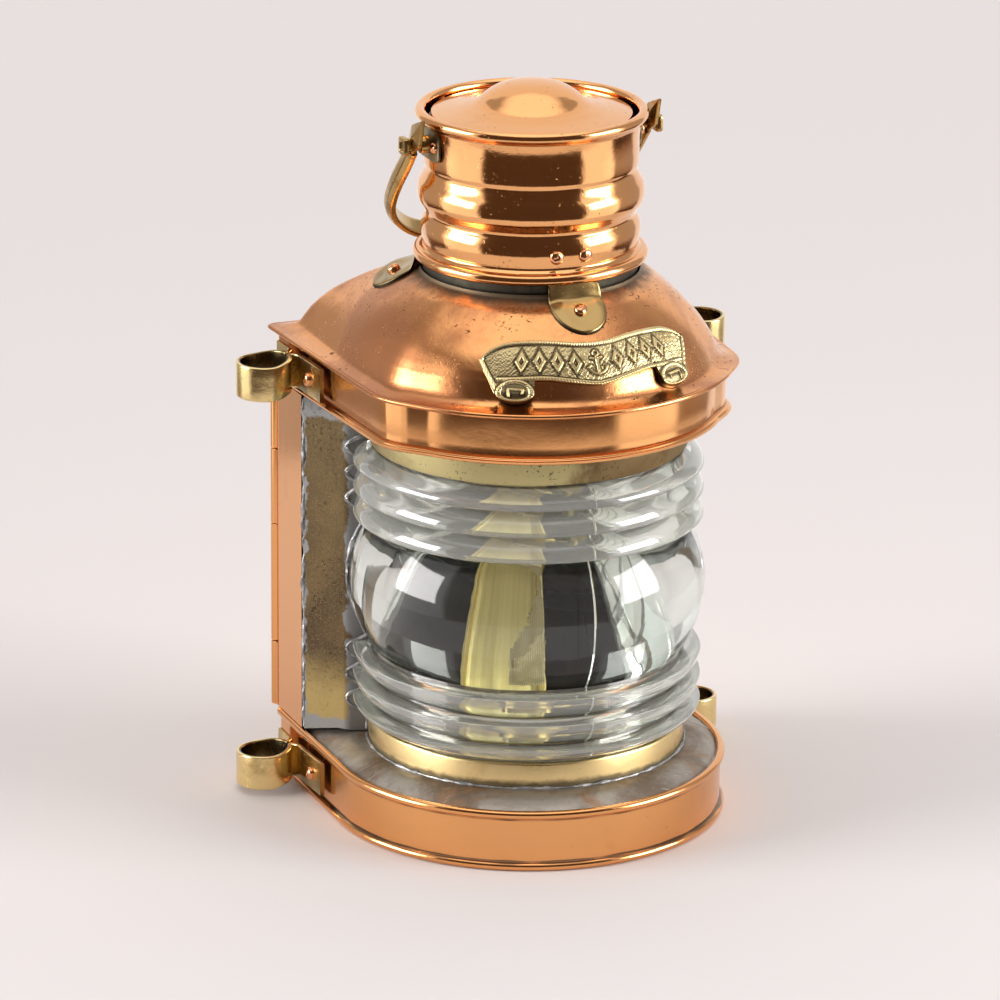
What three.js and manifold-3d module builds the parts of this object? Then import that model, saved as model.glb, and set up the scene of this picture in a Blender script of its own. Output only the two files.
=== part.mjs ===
// A copper ship lantern with a pressed glass lens, as a bench of separate pieces.
// Millimetres, +Z up. The origin is on the lens axis at the underside of the base, and the front faces -Y.
import * as THREE from "three";
import { mergeVertices } from "three/addons/utils/BufferGeometryUtils.js";
import Module from "manifold-3d";

const wasm = await Module();
wasm.setup();

// ---- Driving dimensions ----
const GAP = 0.3; // clearance kept between touching pieces
const SHEET = 1.0; // thickness of the copper and brass sheet
const STRIP = 1.6; // thickness of the lug strip

const BASE_RADIUS = 68.6; // outside of the base wall
const REAR_Y = 65.7; // plane of the rear wall
const BEAD = 1.5; // radius of the rolled beads on the base
const ROOF_BEAD = 1.3;
const BASE_BEAD_Z = 20.3; // centre of the bead on top of the base
const COLLAR_Z = 25; // deck height at the lens collar

const LENS_RADIUS = 61; // over the prism ridges
const LENS_BELT_RADIUS = 61.9;
const LENS_BORE = 49.5;
const LENS_SHANK = 54; // outside of the plain ends
const LENS_BELT_Z = 83.7;
const LENS_BOTTOM_Z = 31.5;
const LENS_TOP_Z = 136.5;
const LENS_HALF_ANGLE = 112.5;
const RIDGE_PITCH = 9.35;
const LOWER_RIDGE_Z = 59.1; // tip of the highest ridge under the belt
const UPPER_RIDGE_Z = 108.2; // tip of the lowest ridge over the belt
const COLLAR_RADIUS = 55.3;
const LOWER_COLLAR_TOP = 34;
const UPPER_COLLAR_FOOT = 134.4;

const PANEL_X = 69.3; // outside of the side panels
const PANEL_FRONT_Y = 39.7;
const PANEL_TOP_Z = 145.1;
const CEILING_Z = 146.3; // underside of the ceiling plate
const SMOKE_HOLE = 34;

const ROOF_RADIUS = 66; // outside of the roof band in front
const ROOF_BEAD_Z = 146.8;
const FLANGE_RADIUS = 71.6;
const NECK_RADIUS = 38; // where the dome meets the chimney neck

const CHIMNEY_TOP_Z = 253.1;
const PIVOT_Z = 243; // handle pivots
const HANDLE_X = 45.8; // centre of the handle arms
const HANDLE_REACH = 63.2; // pivot to the middle of the bow
const HANDLE_DROOP = 46.5; // degrees below horizontal, resting on the roof behind

const LUG_EYE_Y = 43.6;
const LUG_EYE_X = 82.1;
const LUG_EYE_RADIUS = 8.3;
const LUG_HEIGHT = 12.2;
const LOWER_LUG_Z = 4;
const UPPER_LUG_Z = 148.4;

const HINGE = { x: -68.4, y: 68.1 }; // axis of the rear door
const BUTTON = { x: 63.5, z: 83 }; // pivot of the turn button
const WICK_KNOB_Z = 46.5;

const FINISHES = {
  copper: { color: 0xc77b52, roughness: 0.28, metalness: 1 },
  brass: { color: 0xb09a5a, roughness: 0.38, metalness: 1 },
  tinned: { color: 0x8f8c84, roughness: 0.55, metalness: 0.9 },
  rivet_copper: { color: 0xc9764f, roughness: 0.3, metalness: 1 },
  glass: { color: 0xdfe6df, roughness: 0.05, metalness: 0, transparent: true, opacity: 0.35 },
  cotton: { color: 0xd9d2c0, roughness: 0.95, metalness: 0 },
};

// ---- Geometry helpers ----
const rad = THREE.MathUtils.degToRad;

// A point at an azimuth from the front, positive towards +X.
function around(azimuth, radius, z) {
  return new THREE.Vector3(radius * Math.sin(azimuth), -radius * Math.cos(azimuth), z);
}

// Position-only geometry with merged vertices and its faces turned outwards.
function tidy(source) {
  const bare = new THREE.BufferGeometry();
  bare.setAttribute("position", source.getAttribute("position"));
  if (source.index) bare.setIndex(source.index);
  const merged = mergeVertices(bare, 1e-4);
  const p = merged.getAttribute("position");
  const index = Array.from(merged.index.array);
  const [a, b, c] = [new THREE.Vector3(), new THREE.Vector3(), new THREE.Vector3()];
  const kept = [];
  let volume = 0;
  for (let i = 0; i < index.length; i += 3) {
    const [u, v, w] = index.slice(i, i + 3);
    if (u === v || v === w || w === u) continue;
    kept.push(u, v, w);
    a.fromBufferAttribute(p, u);
    b.fromBufferAttribute(p, v);
    c.fromBufferAttribute(p, w);
    volume += a.dot(b.cross(c));
  }
  merged.setIndex(volume < 0 ? kept.reverse() : kept);
  return merged;
}

function solid(geometry) {
  const g = tidy(geometry);
  const vertProperties = g.getAttribute("position").array;
  return new wasm.Manifold(new wasm.Mesh({ numProp: 3, vertProperties, triVerts: new Uint32Array(g.index.array) }));
}

function geometryOf(manifold) {
  const mesh = manifold.getMesh();
  const g = new THREE.BufferGeometry();
  g.setAttribute("position", new THREE.BufferAttribute(new Float32Array(mesh.vertProperties), 3));
  g.setIndex(new THREE.BufferAttribute(new Uint32Array(mesh.triVerts), 1));
  return g;
}

const join = (first, ...rest) => geometryOf(rest.reduce((sum, g) => sum.add(solid(g)), solid(first)));
const cut = (first, ...rest) => geometryOf(rest.reduce((sum, g) => sum.subtract(solid(g)), solid(first)));

// A skin over closed rings of equal length. A looped skin joins its last ring to its first; an open one is capped.
function loft(rings, looped) {
  const count = rings[0].length;
  const points = rings.flat();
  const faces = [];
  const last = looped ? rings.length : rings.length - 1;
  for (let i = 0; i < last; i += 1) {
    const here = i * count;
    const next = ((i + 1) % rings.length) * count;
    for (let j = 0; j < count; j += 1) {
      const k = (j + 1) % count;
      faces.push(here + j, here + k, next + k, here + j, next + k, next + j);
    }
  }
  if (!looped) {
    for (const [start, flip] of [[0, true], [(rings.length - 1) * count, false]]) {
      for (const [u, v, w] of capOf(points.slice(start, start + count))) {
        faces.push(...(flip ? [start + w, start + v, start + u] : [start + u, start + v, start + w]));
      }
    }
  }
  const g = new THREE.BufferGeometry();
  g.setAttribute("position", new THREE.Float32BufferAttribute(points.flatMap((p) => p.toArray()), 3));
  g.setIndex(faces);
  return tidy(g);
}

// Triangles of a flat ring, wound as the ring is.
function capOf(ring) {
  const middle = ring.reduce((sum, p) => sum.add(p), new THREE.Vector3()).divideScalar(ring.length);
  const normal = new THREE.Vector3();
  ring.forEach((p, i) => {
    const q = ring[(i + 1) % ring.length];
    normal.add(p.clone().sub(middle).cross(q.clone().sub(middle)));
  });
  normal.normalize();
  const side = ring[1].clone().sub(ring[0]).normalize();
  const up = normal.clone().cross(side);
  const flat = ring.map((p) => new THREE.Vector2(p.clone().sub(middle).dot(side), p.clone().sub(middle).dot(up)));
  return THREE.ShapeUtils.triangulateShape(flat, []);
}

// A profile of [radius, z] pairs turned about Z.
function turned(profile, segments = 24) {
  const points = profile.map(([r, z]) => new THREE.Vector2(r, z));
  if (profile[0][0] > 0) points.push(points[0].clone());
  return tidy(new THREE.LatheGeometry(points, segments).rotateX(Math.PI / 2));
}

// A closed profile of [radius, z] pairs swept only across the front, as far as the lens goes.
function turnedFront(profile) {
  const steps = 20;
  const rings = [];
  for (let i = 0; i <= steps; i += 1) {
    const azimuth = rad(LENS_HALF_ANGLE * ((2 * i) / steps - 1));
    rings.push(profile.map(([r, z]) => around(azimuth, r, z)));
  }
  return loft(rings, false);
}

// A profile of [radius, distance] pairs turned about an axis that starts at a point.
function turnedAlong(profile, start, direction, segments = 12) {
  const turn = new THREE.Quaternion().setFromUnitVectors(new THREE.Vector3(0, 0, 1), direction.clone().normalize());
  const g = turned(profile, segments).applyQuaternion(turn);
  return g.translate(start.x, start.y, start.z);
}

function box(x0, x1, y0, y1, z0, z1) {
  const g = new THREE.BoxGeometry(x1 - x0, y1 - y0, z1 - z0);
  return g.translate((x0 + x1) / 2, (y0 + y1) / 2, (z0 + z1) / 2);
}

// A flat outline of [x, y] pairs, with holes, raised from one height to another.
function prism(outline, z0, z1, holes = []) {
  const shape = new THREE.Shape(outline.map(([x, y]) => new THREE.Vector2(x, y)));
  for (const hole of holes) shape.holes.push(new THREE.Path(hole.map(([x, y]) => new THREE.Vector2(x, y))));
  return new THREE.ExtrudeGeometry(shape, { depth: z1 - z0, bevelEnabled: false }).translate(0, 0, z0);
}

function circle(radius, count, cx = 0, cy = 0) {
  return Array.from({ length: count }, (_, i) => {
    const a = (2 * Math.PI * i) / count;
    return [cx + radius * Math.cos(a), cy + radius * Math.sin(a)];
  });
}

// Outward miter vectors of a counter-clockwise closed outline.
function miters(outline) {
  const count = outline.length;
  return outline.map(([x, y], i) => {
    const [px, py] = outline[(i + count - 1) % count];
    const [nx, ny] = outline[(i + 1) % count];
    const before = new THREE.Vector2(y - py, px - x).normalize();
    const after = new THREE.Vector2(ny - y, x - nx).normalize();
    const sum = before.clone().add(after);
    return sum.multiplyScalar(2 / sum.lengthSq());
  });
}

function offset(outline, distance) {
  const out = miters(outline);
  return outline.map(([x, y], i) => [x + out[i].x * distance, y + out[i].y * distance]);
}

// A section of [outward distance, z] pairs carried round a closed outline.
function band(outline, section) {
  const out = miters(outline);
  const rings = outline.map(([x, y], i) =>
    section.map(([d, z]) => new THREE.Vector3(x + out[i].x * d, y + out[i].y * d, z)),
  );
  return loft(rings, true);
}

// A sheet standing on a plan path, whose foot height may change from point to point.
function wall(path, thickness, feet, top) {
  const rings = path.map(([x, y], i) => {
    const [ax, ay] = path[Math.max(0, i - 1)];
    const [bx, by] = path[Math.min(path.length - 1, i + 1)];
    const before = new THREE.Vector2(y - ay, ax - x).normalize();
    const after = new THREE.Vector2(by - y, x - bx).normalize();
    const sum = before.add(after);
    const side = sum.multiplyScalar((sum.lengthSq() > 1.01 ? 2 / sum.lengthSq() : 1) * (thickness / 2));
    return [
      new THREE.Vector3(x + side.x, y + side.y, feet[i]),
      new THREE.Vector3(x - side.x, y - side.y, feet[i]),
      new THREE.Vector3(x - side.x, y - side.y, top),
      new THREE.Vector3(x + side.x, y + side.y, top),
    ];
  });
  return loft(rings, false);
}

// ---- Plan outlines, counter-clockwise from the middle of the front arc's left end ----
const line = (from, to, steps) =>
  Array.from({ length: steps }, (_, i) => {
    const t = (i + 1) / steps;
    return [from[0] + (to[0] - from[0]) * t, from[1] + (to[1] - from[1]) * t];
  });

function frontArc(radius, halfAngle, steps) {
  return Array.from({ length: steps + 1 }, (_, i) => {
    const p = around(rad(halfAngle * ((2 * i) / steps - 1)), radius, 0);
    return [p.x, p.y];
  });
}

// Base: half a circle in front, straight sides and a straight rear.
function baseOutline(radius, rearY) {
  const arc = frontArc(radius, 90, 22);
  const corner = [radius, rearY];
  const mirror = [-radius, rearY];
  const right = line([radius, 0], corner, 3);
  const left = line(mirror, [-radius, 0], 3).slice(0, -1);
  return [...arc, ...right, ...line(corner, mirror, 4), ...left];
}

// Roof: a front arc, a flat either side of it, a corner, tapering sides and a straight rear.
function roofOutline(radius, kink, corner) {
  const arc = frontArc(radius, 53, 14);
  const [kx, ky] = kink;
  const [cx, cy] = corner;
  const right = [...line(arc.at(-1), kink, 2), ...line(kink, corner, 6)];
  const rear = line(corner, [-cx, cy], 8);
  const left = [...line([-cx, cy], [-kx, ky], 6), ...line([-kx, ky], arc[0], 2).slice(0, -1)];
  return [...arc, ...right, ...rear, ...left];
}

const BASE_PLAN = baseOutline(BASE_RADIUS, REAR_Y);
const ROOF_PLAN = roofOutline(ROOF_RADIUS, [63.7, -28.2], [PANEL_X, REAR_Y]);
const FLANGE_PLAN = roofOutline(FLANGE_RADIUS, [67.4, -29.8], [72.9, REAR_Y + 1]);

// Distance from the axis to a plan outline in a direction.
function reach(outline, azimuth) {
  const dx = Math.sin(azimuth);
  const dy = -Math.cos(azimuth);
  let best = 0;
  outline.forEach(([x, y], i) => {
    const [nx, ny] = outline[(i + 1) % outline.length];
    const across = dx * (ny - y) - dy * (nx - x);
    const t = (x * (ny - y) - y * (nx - x)) / across;
    const s = (x * dy - y * dx) / across;
    if (s >= -1e-6 && s <= 1 + 1e-6) best = Math.max(best, t);
  });
  return best;
}

// Half of a rolled bead's section, bulging outwards from a wall.
function bead(z, radius, wallOut = 0, steps = 4) {
  return Array.from({ length: steps + 1 }, (_, i) => {
    const a = Math.PI * (i / steps - 0.5);
    return [wallOut + radius * Math.cos(a), z + radius * Math.sin(a)];
  });
}

// ---- Assembly group ----
const lantern = new THREE.Group();
lantern.name = "ship_lantern";

function add(name, geometry, finish) {
  const mesh = new THREE.Mesh(tidy(geometry), new THREE.MeshStandardMaterial(FINISHES[finish]));
  mesh.geometry.computeVertexNormals();
  mesh.name = name;
  lantern.add(mesh);
}

function addRivet(name, centre, direction, radius = 2.4) {
  const head = [[0, GAP], [radius, GAP], [radius * 0.8, GAP + radius * 0.45], [0, GAP + radius * 0.66]];
  add(name, turnedAlong(head, centre, direction, 8), "rivet_copper");
}

// ---- Base ----
const HALF = Math.PI / 2;
add(
  "base_band",
  band(BASE_PLAN, [
    ...bead(BEAD, BEAD),
    ...bead(BASE_BEAD_Z, BEAD),
    [-SHEET, BASE_BEAD_Z + BEAD],
    [-SHEET, 0],
  ]),
  "copper",
);
add("base_floor", prism(offset(BASE_PLAN, -SHEET - GAP), 0, SHEET), "tinned");

const DECK_EDGE_Z = BASE_BEAD_Z - 0.3;
const DECK_RISE_RADIUS = 57.5;
const DECK_HOLE = 41.5;
const deckEdge = offset(BASE_PLAN, -SHEET - GAP);
const deckRings = deckEdge.map(([x, y]) => {
  const azimuth = Math.atan2(x, -y);
  const edge = Math.hypot(x, y);
  const top = [[edge, DECK_EDGE_Z], [DECK_RISE_RADIUS, COLLAR_Z - 0.6], [53, COLLAR_Z], [DECK_HOLE, COLLAR_Z]];
  const under = top.map(([r, z]) => [r, z - SHEET]).reverse();
  return [...top, ...under].map(([r, z]) => around(azimuth, r, z));
});
add("base_deck", loft(deckRings, true), "tinned");

// ---- Lens and its collars ----
// The outside climbs over three ridges with flat tops, the convex belt, and three ridges with flat undersides.
function ridge(tipZ, away) {
  const fullFoot = tipZ + away * (RIDGE_PITCH - 0.7);
  const foot = Math.min(Math.max(fullFoot, LOWER_COLLAR_TOP + 0.6), UPPER_COLLAR_FOOT - 0.6);
  const middle = (tipZ + foot) / 2;
  const rows = [[LENS_RADIUS, tipZ], [LENS_RADIUS - 1.6, middle], [LENS_SHANK, foot]];
  return away < 0 ? rows.reverse() : rows;
}

function lensProfile() {
  const belt = [];
  const bulge = LENS_BELT_RADIUS - LENS_SHANK;
  for (let i = 0; i <= 8; i += 1) {
    const t = i / 4 - 1;
    belt.push([LENS_SHANK + bulge * (1 - t * t), LENS_BELT_Z + t * 23.3]);
  }
  const lower = [2, 1, 0].flatMap((k) => ridge(LOWER_RIDGE_Z - k * RIDGE_PITCH, -1));
  const upper = [0, 1, 2].flatMap((k) => ridge(UPPER_RIDGE_Z + k * RIDGE_PITCH, 1));
  return [
    [LENS_BORE, LENS_BOTTOM_Z],
    [LENS_SHANK, LENS_BOTTOM_Z],
    ...lower,
    ...belt,
    ...upper,
    [LENS_SHANK, LENS_TOP_Z],
    [LENS_BORE, LENS_TOP_Z],
  ];
}
add("lens", turnedFront(lensProfile()), "glass");

const COLLAR_BORE = LENS_SHANK + GAP;
add(
  "lens_lower_collar",
  turnedFront([
    [LENS_BORE, COLLAR_Z + GAP],
    [COLLAR_RADIUS, COLLAR_Z + GAP],
    [COLLAR_RADIUS, LOWER_COLLAR_TOP],
    [COLLAR_BORE, LOWER_COLLAR_TOP],
    [COLLAR_BORE, LENS_BOTTOM_Z - GAP],
    [LENS_BORE, LENS_BOTTOM_Z - GAP],
  ]),
  "brass",
);
add(
  "lens_upper_collar",
  turnedFront([
    [COLLAR_BORE, UPPER_COLLAR_FOOT],
    [COLLAR_RADIUS, UPPER_COLLAR_FOOT],
    [COLLAR_RADIUS, CEILING_Z - GAP],
    [LENS_BORE, CEILING_Z - GAP],
    [LENS_BORE, CEILING_Z - GAP - SHEET],
    [COLLAR_BORE, CEILING_Z - GAP - SHEET],
  ]),
  "brass",
);

// ---- Screens, side panels and rear door ----
const lensEnd = around(rad(LENS_HALF_ANGLE), 1, 0);
const behindLens = new THREE.Vector3(-lensEnd.y, lensEnd.x, 0).multiplyScalar(GAP + SHEET / 2);
const onLensEnd = (r) => [lensEnd.x * r + behindLens.x, lensEnd.y * r + behindLens.y];
const flip = (path) => path.map(([x, y]) => [-x, y]);

const PANEL_FOOT_Z = BASE_BEAD_Z + BEAD + GAP;
function screen(side) {
  const path = [onLensEnd(47), onLensEnd(62.3), [PANEL_X - 0.9, PANEL_FRONT_Y - 0.4]];
  const feet = [COLLAR_Z + GAP, COLLAR_Z + GAP, PANEL_FOOT_Z];
  return wall(side > 0 ? path : flip(path), SHEET, feet, PANEL_TOP_Z);
}
add("screen_left", screen(-1), "brass");
add("screen_right", screen(1), "brass");

const panelFeet = [PANEL_FOOT_Z, PANEL_FOOT_Z, PANEL_FOOT_Z];
const panelX = PANEL_X - SHEET / 2;
const stileY = REAR_Y - SHEET / 2;
const panelStart = PANEL_FRONT_Y + 0.5;
const leftPanel = wall([[-panelX, panelStart], [-panelX, stileY], [-60, stileY]], SHEET, panelFeet, PANEL_TOP_Z);
const rightPanel = wall([[panelX, panelStart], [panelX, stileY], [54, stileY]], SHEET, panelFeet, PANEL_TOP_Z);

const HINGE_SPLITS = [PANEL_FOOT_Z, 46, 90, 118, PANEL_TOP_Z];
const knuckle = (i) => {
  const z0 = HINGE_SPLITS[i] + (i ? GAP / 2 : 0);
  const z1 = HINGE_SPLITS[i + 1] - (i < 3 ? GAP / 2 : 0);
  return { z0, z1, barrel: prism(circle(2, 12, HINGE.x, HINGE.y), z0, z1) };
};
const hingeBore = prism(circle(1, 12, HINGE.x, HINGE.y), 0, 200);
const bodyKnuckles = [0, 2].flatMap((i) => {
  const { z0, z1, barrel } = knuckle(i);
  return [barrel, box(-PANEL_X, -PANEL_X + 1.3, REAR_Y - 0.2, HINGE.y - 0.4, z0, z1)];
});
add("side_panel_left", cut(join(leftPanel, ...bodyKnuckles), hingeBore), "copper");
add("side_panel_right", rightPanel, "copper");

const DOOR_Y = REAR_Y + 0.4;
const DOOR_EDGE = { left: -66.1, right: 58.2 };
const doorKnuckles = [1, 3].flatMap((i) => {
  const { z0, z1, barrel } = knuckle(i);
  return [barrel, box(HINGE.x, DOOR_EDGE.left + 1, DOOR_Y, DOOR_Y + SHEET, z0, z1)];
});
const doorSheet = box(DOOR_EDGE.left, DOOR_EDGE.right, DOOR_Y, DOOR_Y + SHEET, PANEL_FOOT_Z + 0.3, PANEL_TOP_Z);
const doorSwage = box(-54, 44, DOOR_Y + 0.2, DOOR_Y + SHEET + 0.8, 34, 134);
add("rear_door", cut(join(doorSheet, doorSwage, ...doorKnuckles), hingeBore), "copper");
add("hinge_pin", prism(circle(0.88, 10, HINGE.x, HINGE.y), PANEL_FOOT_Z - 0.1, PANEL_TOP_Z - 0.1), "brass");
const outBack = new THREE.Vector3(0, 1, 0);
const DOOR_KNOB = [[0, 0], [4.6, 0], [4.6, 0.8], [1.9, 1.6], [1.9, 3.4], [4.2, 4.8], [4.6, 6], [3.6, 7.6], [0, 8.2]];
const DOOR_KNOB_Z = 60; // below the sweep of the turn button
const doorKnobFoot = new THREE.Vector3(50.5, DOOR_Y + SHEET + GAP, DOOR_KNOB_Z);
add("door_knob", turnedAlong(DOOR_KNOB, doorKnobFoot, outBack), "brass");

// The turn button stands upright when the door is free, and lies across the door's edge to hold it.
const buttonPlate = [[-3, -5], [3, -5], [3.2, 0], [2.4, 10], [0, 11.5], [-2.4, 10], [-3.2, 0]];
const buttonY = REAR_Y + 1.9;
const upright = (g) => g.rotateX(HALF).translate(BUTTON.x, buttonY + 1.2, BUTTON.z);
add("turn_button", upright(prism(buttonPlate, 0, 1.2, [circle(1.6, 16)])), "brass");
const STUD = [[0, 0], [3.2, 0], [3.2, 1.3], [1.4, 1.3], [1.4, 3.1], [3, 3.1], [2.2, 4.2], [0, 4.5]];
const studFoot = new THREE.Vector3(BUTTON.x, REAR_Y + GAP, BUTTON.z);
add("turn_button_stud", turnedAlong(STUD, studFoot, outBack), "rivet_copper");

// ---- Roof ----
const BAND_TOP_Z = 162.9;
add(
  "roof_band",
  band(ROOF_PLAN, [
    ...bead(ROOF_BEAD_Z, ROOF_BEAD, 0.6),
    [0, ROOF_BEAD_Z + ROOF_BEAD + 0.2],
    [0, BAND_TOP_Z],
    [-SHEET, BAND_TOP_Z],
    [-SHEET, ROOF_BEAD_Z - ROOF_BEAD],
  ]),
  "copper",
);
const ceiling = offset(ROOF_PLAN, -SHEET - GAP);
add("ceiling_plate", prism(ceiling, CEILING_Z, CEILING_Z + SHEET, [circle(SMOKE_HOLE, 28)]), "tinned");

// Front profile of the dome from neck to flange rim, outside first and then the inside.
const DOME_OUTSIDE = [
  [38.6, 195.2], [45.7, 191.3], [51.6, 186.5], [57, 181],
  [62.3, 173], [64.6, 167.6], [67, 165.2], [FLANGE_RADIUS, 163.8],
];
const DOME_INSIDE = [[71, 162.9], [66.4, 164.2], [63.7, 166.8], [61.3, 172.6], [56.2, 180], [45.2, 190.1], [38, 194]];
const domeStretch = (azimuth) => (reach(FLANGE_PLAN, azimuth) - NECK_RADIUS) / (FLANGE_RADIUS - NECK_RADIUS);

add(
  "roof_dome",
  loft(
    FLANGE_PLAN.map(([x, y]) => {
      const azimuth = Math.atan2(x, -y);
      const stretch = domeStretch(azimuth);
      const stretched = (r) => NECK_RADIUS + (r - NECK_RADIUS) * stretch;
      return [...DOME_OUTSIDE, ...DOME_INSIDE].map(([r, z]) => around(azimuth, stretched(r), z));
    }),
    true,
  ),
  "copper",
);

// Height of the dome's outside over a plan point.
function domeHeight(x, y) {
  const azimuth = Math.atan2(x, -y);
  const r = NECK_RADIUS + (Math.hypot(x, y) - NECK_RADIUS) / domeStretch(azimuth);
  const i = Math.max(1, DOME_OUTSIDE.findIndex(([outer]) => outer >= r));
  const [[r0, z0], [r1, z1]] = [DOME_OUTSIDE[i - 1], DOME_OUTSIDE[i]];
  return z0 + ((z1 - z0) * (r - r0)) / (r1 - r0);
}

add("neck_ring", turned([[35.7, 192.6], [36.9, 192.6], [36.9, 203.2], [35.7, 203.2]]), "tinned");

// ---- Chimney, cap and its spider ----
const CHIMNEY = [
  [37.2, 200.3], [39.9, 200.6], [40.5, 201.9], [39.9, 203.2], [38.2, 203.9], [37.5, 205.6], [38, 209], [37.6, 212.5],
  [36.4, 216], [37, 218.2], [38.6, 220.8], [39.1, 223.7], [38.6, 226.8], [37.2, 229.8], [36.6, 232.5], [37, 235],
  [37, 248.6], [38.2, 249.6], [39.5, 249.9], [40.1, 251.5], [39.4, CHIMNEY_TOP_Z - 0.3], [38.1, CHIMNEY_TOP_Z],
  [36, 249.6], [35.6, 232.5], [37.6, 226.5], [38.1, 223.7], [37.6, 221.1], [35.4, 216], [37, 209], [37.2, 204.6],
];
add("chimney", turned(CHIMNEY), "copper");
const CAP = [
  [0, 262], [4, 261.6], [8, 259.9], [11.4, 257.3], [14, 255.2], [17, 254.2], [26, 252.4], [34.4, 251],
  [34.4, 250.1], [26, 251.4], [17, 253.2], [13.5, 254.2], [10.7, 256.5], [7.5, 258.9], [3.8, 260.6], [0, 261],
];
add("chimney_cap", turned(CAP), "copper");
const spiderArm = (azimuth) => box(-3, 3, 2, 35.2, 248, 249).rotateZ(azimuth);
const spiderPost = turned([[0, 248], [3.4, 248], [3.4, 258], [0, 259.6]], 12);
add("cap_spider", join(spiderPost, ...[1, 3, 5].map((k) => spiderArm((k * Math.PI) / 3))), "tinned");

// ---- Straps that tie the chimney to the dome ----
const STRAP = { neckHalf: 6.5, headRadius: 9.85, thick: 1.2 };
function strap(azimuth) {
  const stretch = domeStretch(azimuth);
  const rivetR = NECK_RADIUS + (45.2 - NECK_RADIUS) * stretch;
  const endR = rivetR + 7.2;
  const headR = endR - STRAP.headRadius;
  const lift = 1.2;
  const stations = [38.9, 39.4, 40.6, headR - 5, headR + 1, headR + 5, headR + 8.2, endR];
  const out = around(azimuth, 1, 0);
  const across = new THREE.Vector3(-out.y, out.x, 0);
  const rings = stations.map((r, i) => {
    const inHead = r > headR - 5;
    const chord = Math.sqrt(Math.max(4, STRAP.headRadius ** 2 - (r - headR) ** 2));
    const half = inHead ? Math.max(chord, r < headR ? STRAP.neckHalf : 0) : STRAP.neckHalf;
    const turnUp = [199, 197.4, 195.9][i];
    const row = (inward, down) =>
      [-1, -0.5, 0, 0.5, 1].map((t) => {
        const p = out.clone().multiplyScalar(r - inward).addScaledVector(across, half * t);
        const z = turnUp ?? domeHeight(p.x, p.y) + lift;
        return new THREE.Vector3(p.x, p.y, z - down);
      });
    return [...row(0, 0), ...(turnUp ? row(0.6, 0.45) : row(0, 0.9)).reverse()];
  });
  return { geometry: loft(rings, false), rivet: around(azimuth, rivetR, 0) };
}
for (const [name, degrees] of [["front", 0], ["left", -120], ["right", 120]]) {
  const { geometry, rivet } = strap(rad(degrees));
  add("strap_" + name, geometry, "brass");
  const slope = around(rad(degrees), 0.5, 0.85);
  const foot = new THREE.Vector3(rivet.x, rivet.y, domeHeight(rivet.x, rivet.y) + 1.5);
  addRivet("rivet_strap_" + name, foot, slope, 2.6);
}
for (const [name, degrees] of [["left", -8.8], ["right", 7]]) {
  addRivet("rivet_chimney_" + name, around(rad(degrees), 37.9, 209.6), around(rad(degrees), 1, 0));
}

// ---- Name plate: a ribbon across the front of the dome, with a curl hanging at each end ----
const PLATE_HALF_ANGLE = 39;
// Its edges rise and fall as a wave along the azimuth, in degrees.
const plateWave = (a) => -Math.cos(rad(a * 7.2));
const plateTop = (a) => 184.4 + 1.4 * plateWave(a) - 0.75 * Math.max(0, Math.abs(a) - 31);
const plateFoot = (a) => {
  const size = Math.abs(a);
  if (size >= 36) return 173;
  return size > 21 ? 166.8 + 1.6 * Math.max(0, size - 33) : 171 + 1.4 * plateWave(a);
};
function plateColumn(degrees) {
  const azimuth = rad(degrees);
  const radiusAt = (z) => {
    const i = DOME_OUTSIDE.findIndex(([, height]) => height <= z);
    const [[r0, z0], [r1, z1]] = [DOME_OUTSIDE[i - 1], DOME_OUTSIDE[i]];
    return r0 + ((r1 - r0) * (z - z0)) / (z1 - z0);
  };
  const heights = [0, 0.33, 0.66, 1].map((t) => plateTop(degrees) + (plateFoot(degrees) - plateTop(degrees)) * t);
  const row = (proud) => heights.map((z) => around(azimuth, radiusAt(z) + proud, z + proud * 0.55));
  return [...row(1.6), ...row(0.6).reverse()];
}
const plateStations = [-39, -36, -33, -27, -21.5, -20, -14, -7, 0, 7, 14, 20, 21.5, 27, 33, 36, PLATE_HALF_ANGLE];
add("name_plate", loft(plateStations.map(plateColumn), false), "brass");

// ---- Handle, its ears and pivots ----
const handleFrame = new THREE.Matrix4()
  .makeTranslation(0, 0, PIVOT_Z)
  .multiply(new THREE.Matrix4().makeRotationX(rad(-HANDLE_DROOP)));

// In the handle's own plane x is sideways and y runs from the pivots to the bow.
function handlePath() {
  const straight = 24;
  const bow = HANDLE_REACH - straight;
  const quarter = Array.from({ length: 8 }, (_, i) => {
    const t = (i / 7) * HALF;
    return [HANDLE_X * Math.cos(t) ** 0.87, straight + bow * Math.sin(t) ** 0.87];
  });
  const right = [[HANDLE_X, -4], [HANDLE_X, 5], ...quarter];
  return [...right, ...flip(right).reverse().slice(1)];
}

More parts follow.
